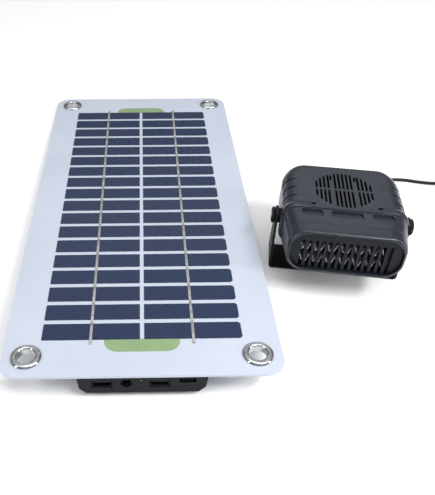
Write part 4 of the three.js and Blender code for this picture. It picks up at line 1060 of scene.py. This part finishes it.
def fin_row(z):
    """One folded strip: hand-bent folds that are a little uneven."""
    step = (FIN_RIGHT - FIN_LEFT) / FIN_FOLDS
    line = []
    for i in range(FIN_FOLDS + 1):
        x = FIN_LEFT + i * step + random.uniform(-FIN_SWAY, FIN_SWAY) * (0 < i < FIN_FOLDS)
        drop = random.uniform(0, FIN_DROP)
        line.append((x, FIN_HEIGHT / 2 - FIN_THICKNESS - drop if i % 2 else -FIN_HEIGHT / 2 + drop))
    soft = []
    for (ax, az), (bx, bz) in zip(line, line[1:]):
        soft += [(ax + (bx - ax) * s, az + (bz - az) * s) for s in (0.0, 0.12, 0.5, 0.88)]
    soft.append(line[-1])
    soft = [soft[0]] + [
        ((a[0] + 2 * b[0] + c[0]) / 4, (a[1] + 2 * b[1] + c[1]) / 4)
        for a, b, c in zip(soft, soft[1:], soft[2:])
    ] + [soft[-1]]
    outline = [(x, z + h) for x, h in soft]
    outline += [(x, z + h + FIN_THICKNESS) for x, h in reversed(soft)]
    return upright(plate(outline, -FIN_BACK, -FIN_FRONT))


def add_heater():
    random.seed(5)
    for side, name in ((-1, "lower"), (1, "upper")):
        z = FIN_MIDDLE + side * (STRIP / 2 + GAP + FIN_HEIGHT / 2)
        piece(f"fins_{name}", fin_row(z), HEAD, "aluminium", "head", [f"heater_fins_{name}"],
              sharp=50)
    refined("ceramic_strip", "black_steel", "head", 0.2, slot="steel")
    refined("heater_frame", "black_plastic", "head", 0.3)


add_heater()

# --- blower ---
IMPELLER_RADIUS, BLADES = 20, 36


def add_blower():
    refined("blower_scroll", "black_plastic", "head", 0.3)
    can = [(0, -17.4), (10.9, -17.4)] + arc(11.4, -16.4, 1.0, -90, 0, 4)
    can += [(12.4, -15), (12.1, -14.7), (12.4, -14.4), (12.4, -8.9)]
    can += [*arc(11.4, -8.4, 1.0, 0, 90, 4), (4, -7.4), (3.7, -6.7), (0, -6.7)]
    piece("motor_can", shifted(lathe(can), 0, INTAKE_Y), HEAD, "steel", "head", ["motor"])
    edge = IMPELLER_RADIUS
    hub = [(1.4, -5.6), (edge - 0.3, -5.6), (edge, -5.3), (edge, -4.9), (edge - 0.3, -4.6),
           (7, -4.6), (5.2, -2.5), (4.2, 3.4), (3.6, 4), (1.4, 4)]
    rim = [(edge - 2.2, 10.6), (edge, 10.6), (edge, 11.8), (edge - 0.3, 12), (edge - 2.2, 12)]
    blade_line = [(edge - 6 + 5.6 * t, 2.6 * t * t) for t in (0, 0.25, 0.5, 0.75, 1)]
    blade_line += [(x, y + 0.5) for x, y in reversed(blade_line)]
    blade = plate(blade_line, -4.8, 10.9)
    blades = [turned(blade, 360 * i / BLADES, "Z") for i in range(BLADES)]
    wheel = shifted(merge(lathe(hub), lathe(rim), *blades), 0, INTAKE_Y)
    piece("fan_wheel", wheel, HEAD, "black_plastic", "impeller", ["impeller"])
    shaft = [(0, -6.3), (0.9, -6.3), (1.1, -6.0), (1.1, 5.2), (0.85, 5.5), (0, 5.5)]
    piece("wheel_shaft", shifted(lathe(shaft, 32), 0, INTAKE_Y), HEAD, "steel", "impeller",
          ["motor_shaft"])


add_blower()

# --- bracket and pivots ---
PIVOT_HEIGHT = Vector(joints["head_tilt"]["pos_m"]).z / MM
BRACKET_WIDTH, BRACKET_DEPTH, PLATE = 108, 29, 2
LEG_TOP, LEG_SHOULDER = 8, 8  # radius of a leg's round end, and where its sides start to lean in
LEG_ARC = (11.5, 168.5)  # degrees
OUTER_BEND = 3.0
HOLE_X, HOLE_RADIUS, HOLE_SINK = 30, 2.3, 3.6
KNOB_RADIUS, KNOB_THICKNESS, FLUTES = 6.75, 2.8, 18
PIN_RADIUS, PIN_BORE = 2, 2.4
WASHER_RADIUS = 6.3


def add_bracket():
    half = BRACKET_WIDTH / 2
    tall = PIVOT_HEIGHT + LEG_TOP
    outer = [(-half, tall), *arc(-half + OUTER_BEND, OUTER_BEND, OUTER_BEND, 180, 270, 10),
             *arc(half - OUTER_BEND, OUTER_BEND, OUTER_BEND, 270, 360, 10), (half, tall)]
    bend, inside = OUTER_BEND - PLATE, half - PLATE
    inner = [(inside, tall), *arc(inside - bend, PLATE + bend, bend, 0, -90, 8),
             *arc(-inside + bend, PLATE + bend, bend, 270, 180, 8), (-inside, tall)]
    edge = BRACKET_DEPTH / 2
    strip = upright(plate([*outer, *inner], -edge, edge))
    side = [(-edge, -1), (edge, -1), (edge, LEG_SHOULDER),
            *arc(0, PIVOT_HEIGHT, LEG_TOP, *LEG_ARC, 28), (-edge, LEG_SHOULDER)]
    legs = combine(strip, [sideways(plate(side, -half - 1, half + 1))], "INTERSECT")
    pin = rod_cutter(PIN_BORE, -60, 60, 0, 0, PIVOT_HEIGHT, "Y")
    hole = lathe([(0, -1), (HOLE_RADIUS, -1), (HOLE_RADIUS, 1), (HOLE_SINK, PLATE + 0.3),
                  (HOLE_SINK, 4), (0, 4)], 40)
    holes = merge(*[shifted(hole, x) for x in (-HOLE_X, HOLE_X)])
    piece("u_bracket", carve(legs, pin, holes), FAN, "black_steel", "base", ["bracket"],
          bevel=0.3, segments=3)


def fluted_disc(low, high):
    """A round grip with finger flutes, chamfered edges and a dished face."""
    rings = []
    for less, z, flute in (
        (0.7, low, 0.1), (0.15, low + 0.35, 0.45), (0, low + 0.7, 0.7), (0, high - 0.8, 0.7),
        (0.2, high - 0.35, 0.5), (0.9, high, 0.12), (1.7, high, 0),
        (2.2, high - 0.2 * (high - low), 0),
    ):
        ring = []
        for i in range(FLUTES * 8):
            a = 2 * pi * i / (FLUTES * 8)
            reach = KNOB_RADIUS - less - flute * (0.5 - 0.5 * cos(FLUTES * a)) ** 0.6
            ring.append((reach * cos(a), reach * sin(a), z))
        rings.append(ring)
    return loft(rings)


def add_pivots():
    inner = BRACKET_WIDTH / 2 + GAP
    top = inner + KNOB_THICKNESS
    low, high = HALF_WIDTH + GAP, BRACKET_WIDTH / 2 - PLATE - GAP
    washer = [(PIN_BORE, low), (WASHER_RADIUS - 0.2, low), (WASHER_RADIUS, low + 0.2),
              (WASHER_RADIUS, high - 0.2), (WASHER_RADIUS - 0.2, high), (PIN_BORE, high)]
    pin = [(0, 37.5), (PIN_RADIUS - 0.3, 37.5), (PIN_RADIUS, 37.9), (PIN_RADIUS, inner + 0.4),
           (0, inner + 0.4)]
    cap = [(0, top - 0.7), (2.6, top - 0.7), (2.6, top - 0.25), (2.3, top - 0.02), (0, top - 0.02)]
    for side, name in SIDES:
        grip = turned(merge(fluted_disc(inner, top), lathe(pin, 32)), 90 * side, "Y")
        piece(f"grip_{name}", grip, HEAD, "black_plastic", f"knob_{name}", [f"knob_{name}"],
              sharp=45)
        piece(f"grip_screw_{name}", turned(lathe(cap, 6), 90 * side, "Y"), HEAD, "steel",
              f"knob_{name}", bevel=0.08)
        piece(f"friction_washer_{name}", turned(lathe(washer), 90 * side, "Y"), HEAD, "rubber",
              "head", [f"pivot_washer_{name}"], sharp=50)
        refined(f"pivot_nut_{name}", "steel", "head", 0.25)
        refined(f"shell_screw_{name}", "steel", "head", 0.1)


add_bracket()
add_pivots()

# --- switch and gland ---
ROCKER_HALF = 7.8
GLAND_RIBS, GLAND_PITCH = 5, 2


def add_rear():
    refined("switch_body", "black_plastic", "head", 0.35)
    lower = [(-2.2, -4), (0.3, -4.25), (0.7, -4.1), (1.45, -1.6), (1.28, -0.6)]
    profile = [*lower, (1.2, 0), *[(x, -y) for x, y in reversed(lower)]]
    rocker = shifted(sideways(plate(profile, -ROCKER_HALF, ROCKER_HALF)), SWITCH_X, HEAD_REAR + 1,
                     SWITCH_Z)
    piece("rocker", rocker, HEAD, "black_plastic", "switch_rocker", ["switch_rocker"],
          bevel=0.25, sharp=25)
    gland = [(0, -3.4), (4.1, -3.4), (4.4, -3.1), (4.4, -2.7), (4.1, -2.4), (2.8, -2.4), (2.8, GAP),
             (4.1, GAP), (4.4, 0.6), (4.4, 1.7), (4.1, 2), (3.1, 2.5)]
    for i in range(GLAND_RIBS):
        z = 3.4 + i * GLAND_PITCH
        radius = 3.0 - 0.9 * (z - 2.5) / 11.5
        gland += [(radius, z - 0.5), (radius, z + 0.5), (radius - 0.45, z + 0.75),
                  (radius - 0.45, z + 1.25)]
    gland += [(2.1, 13.2), (2.0, 14), (0, 14)]
    piece("strain_relief", facing(lathe(gland, 48), GLAND, -1), HEAD, "rubber", "head",
          ["cord_gland"], sharp=45)


add_rear()
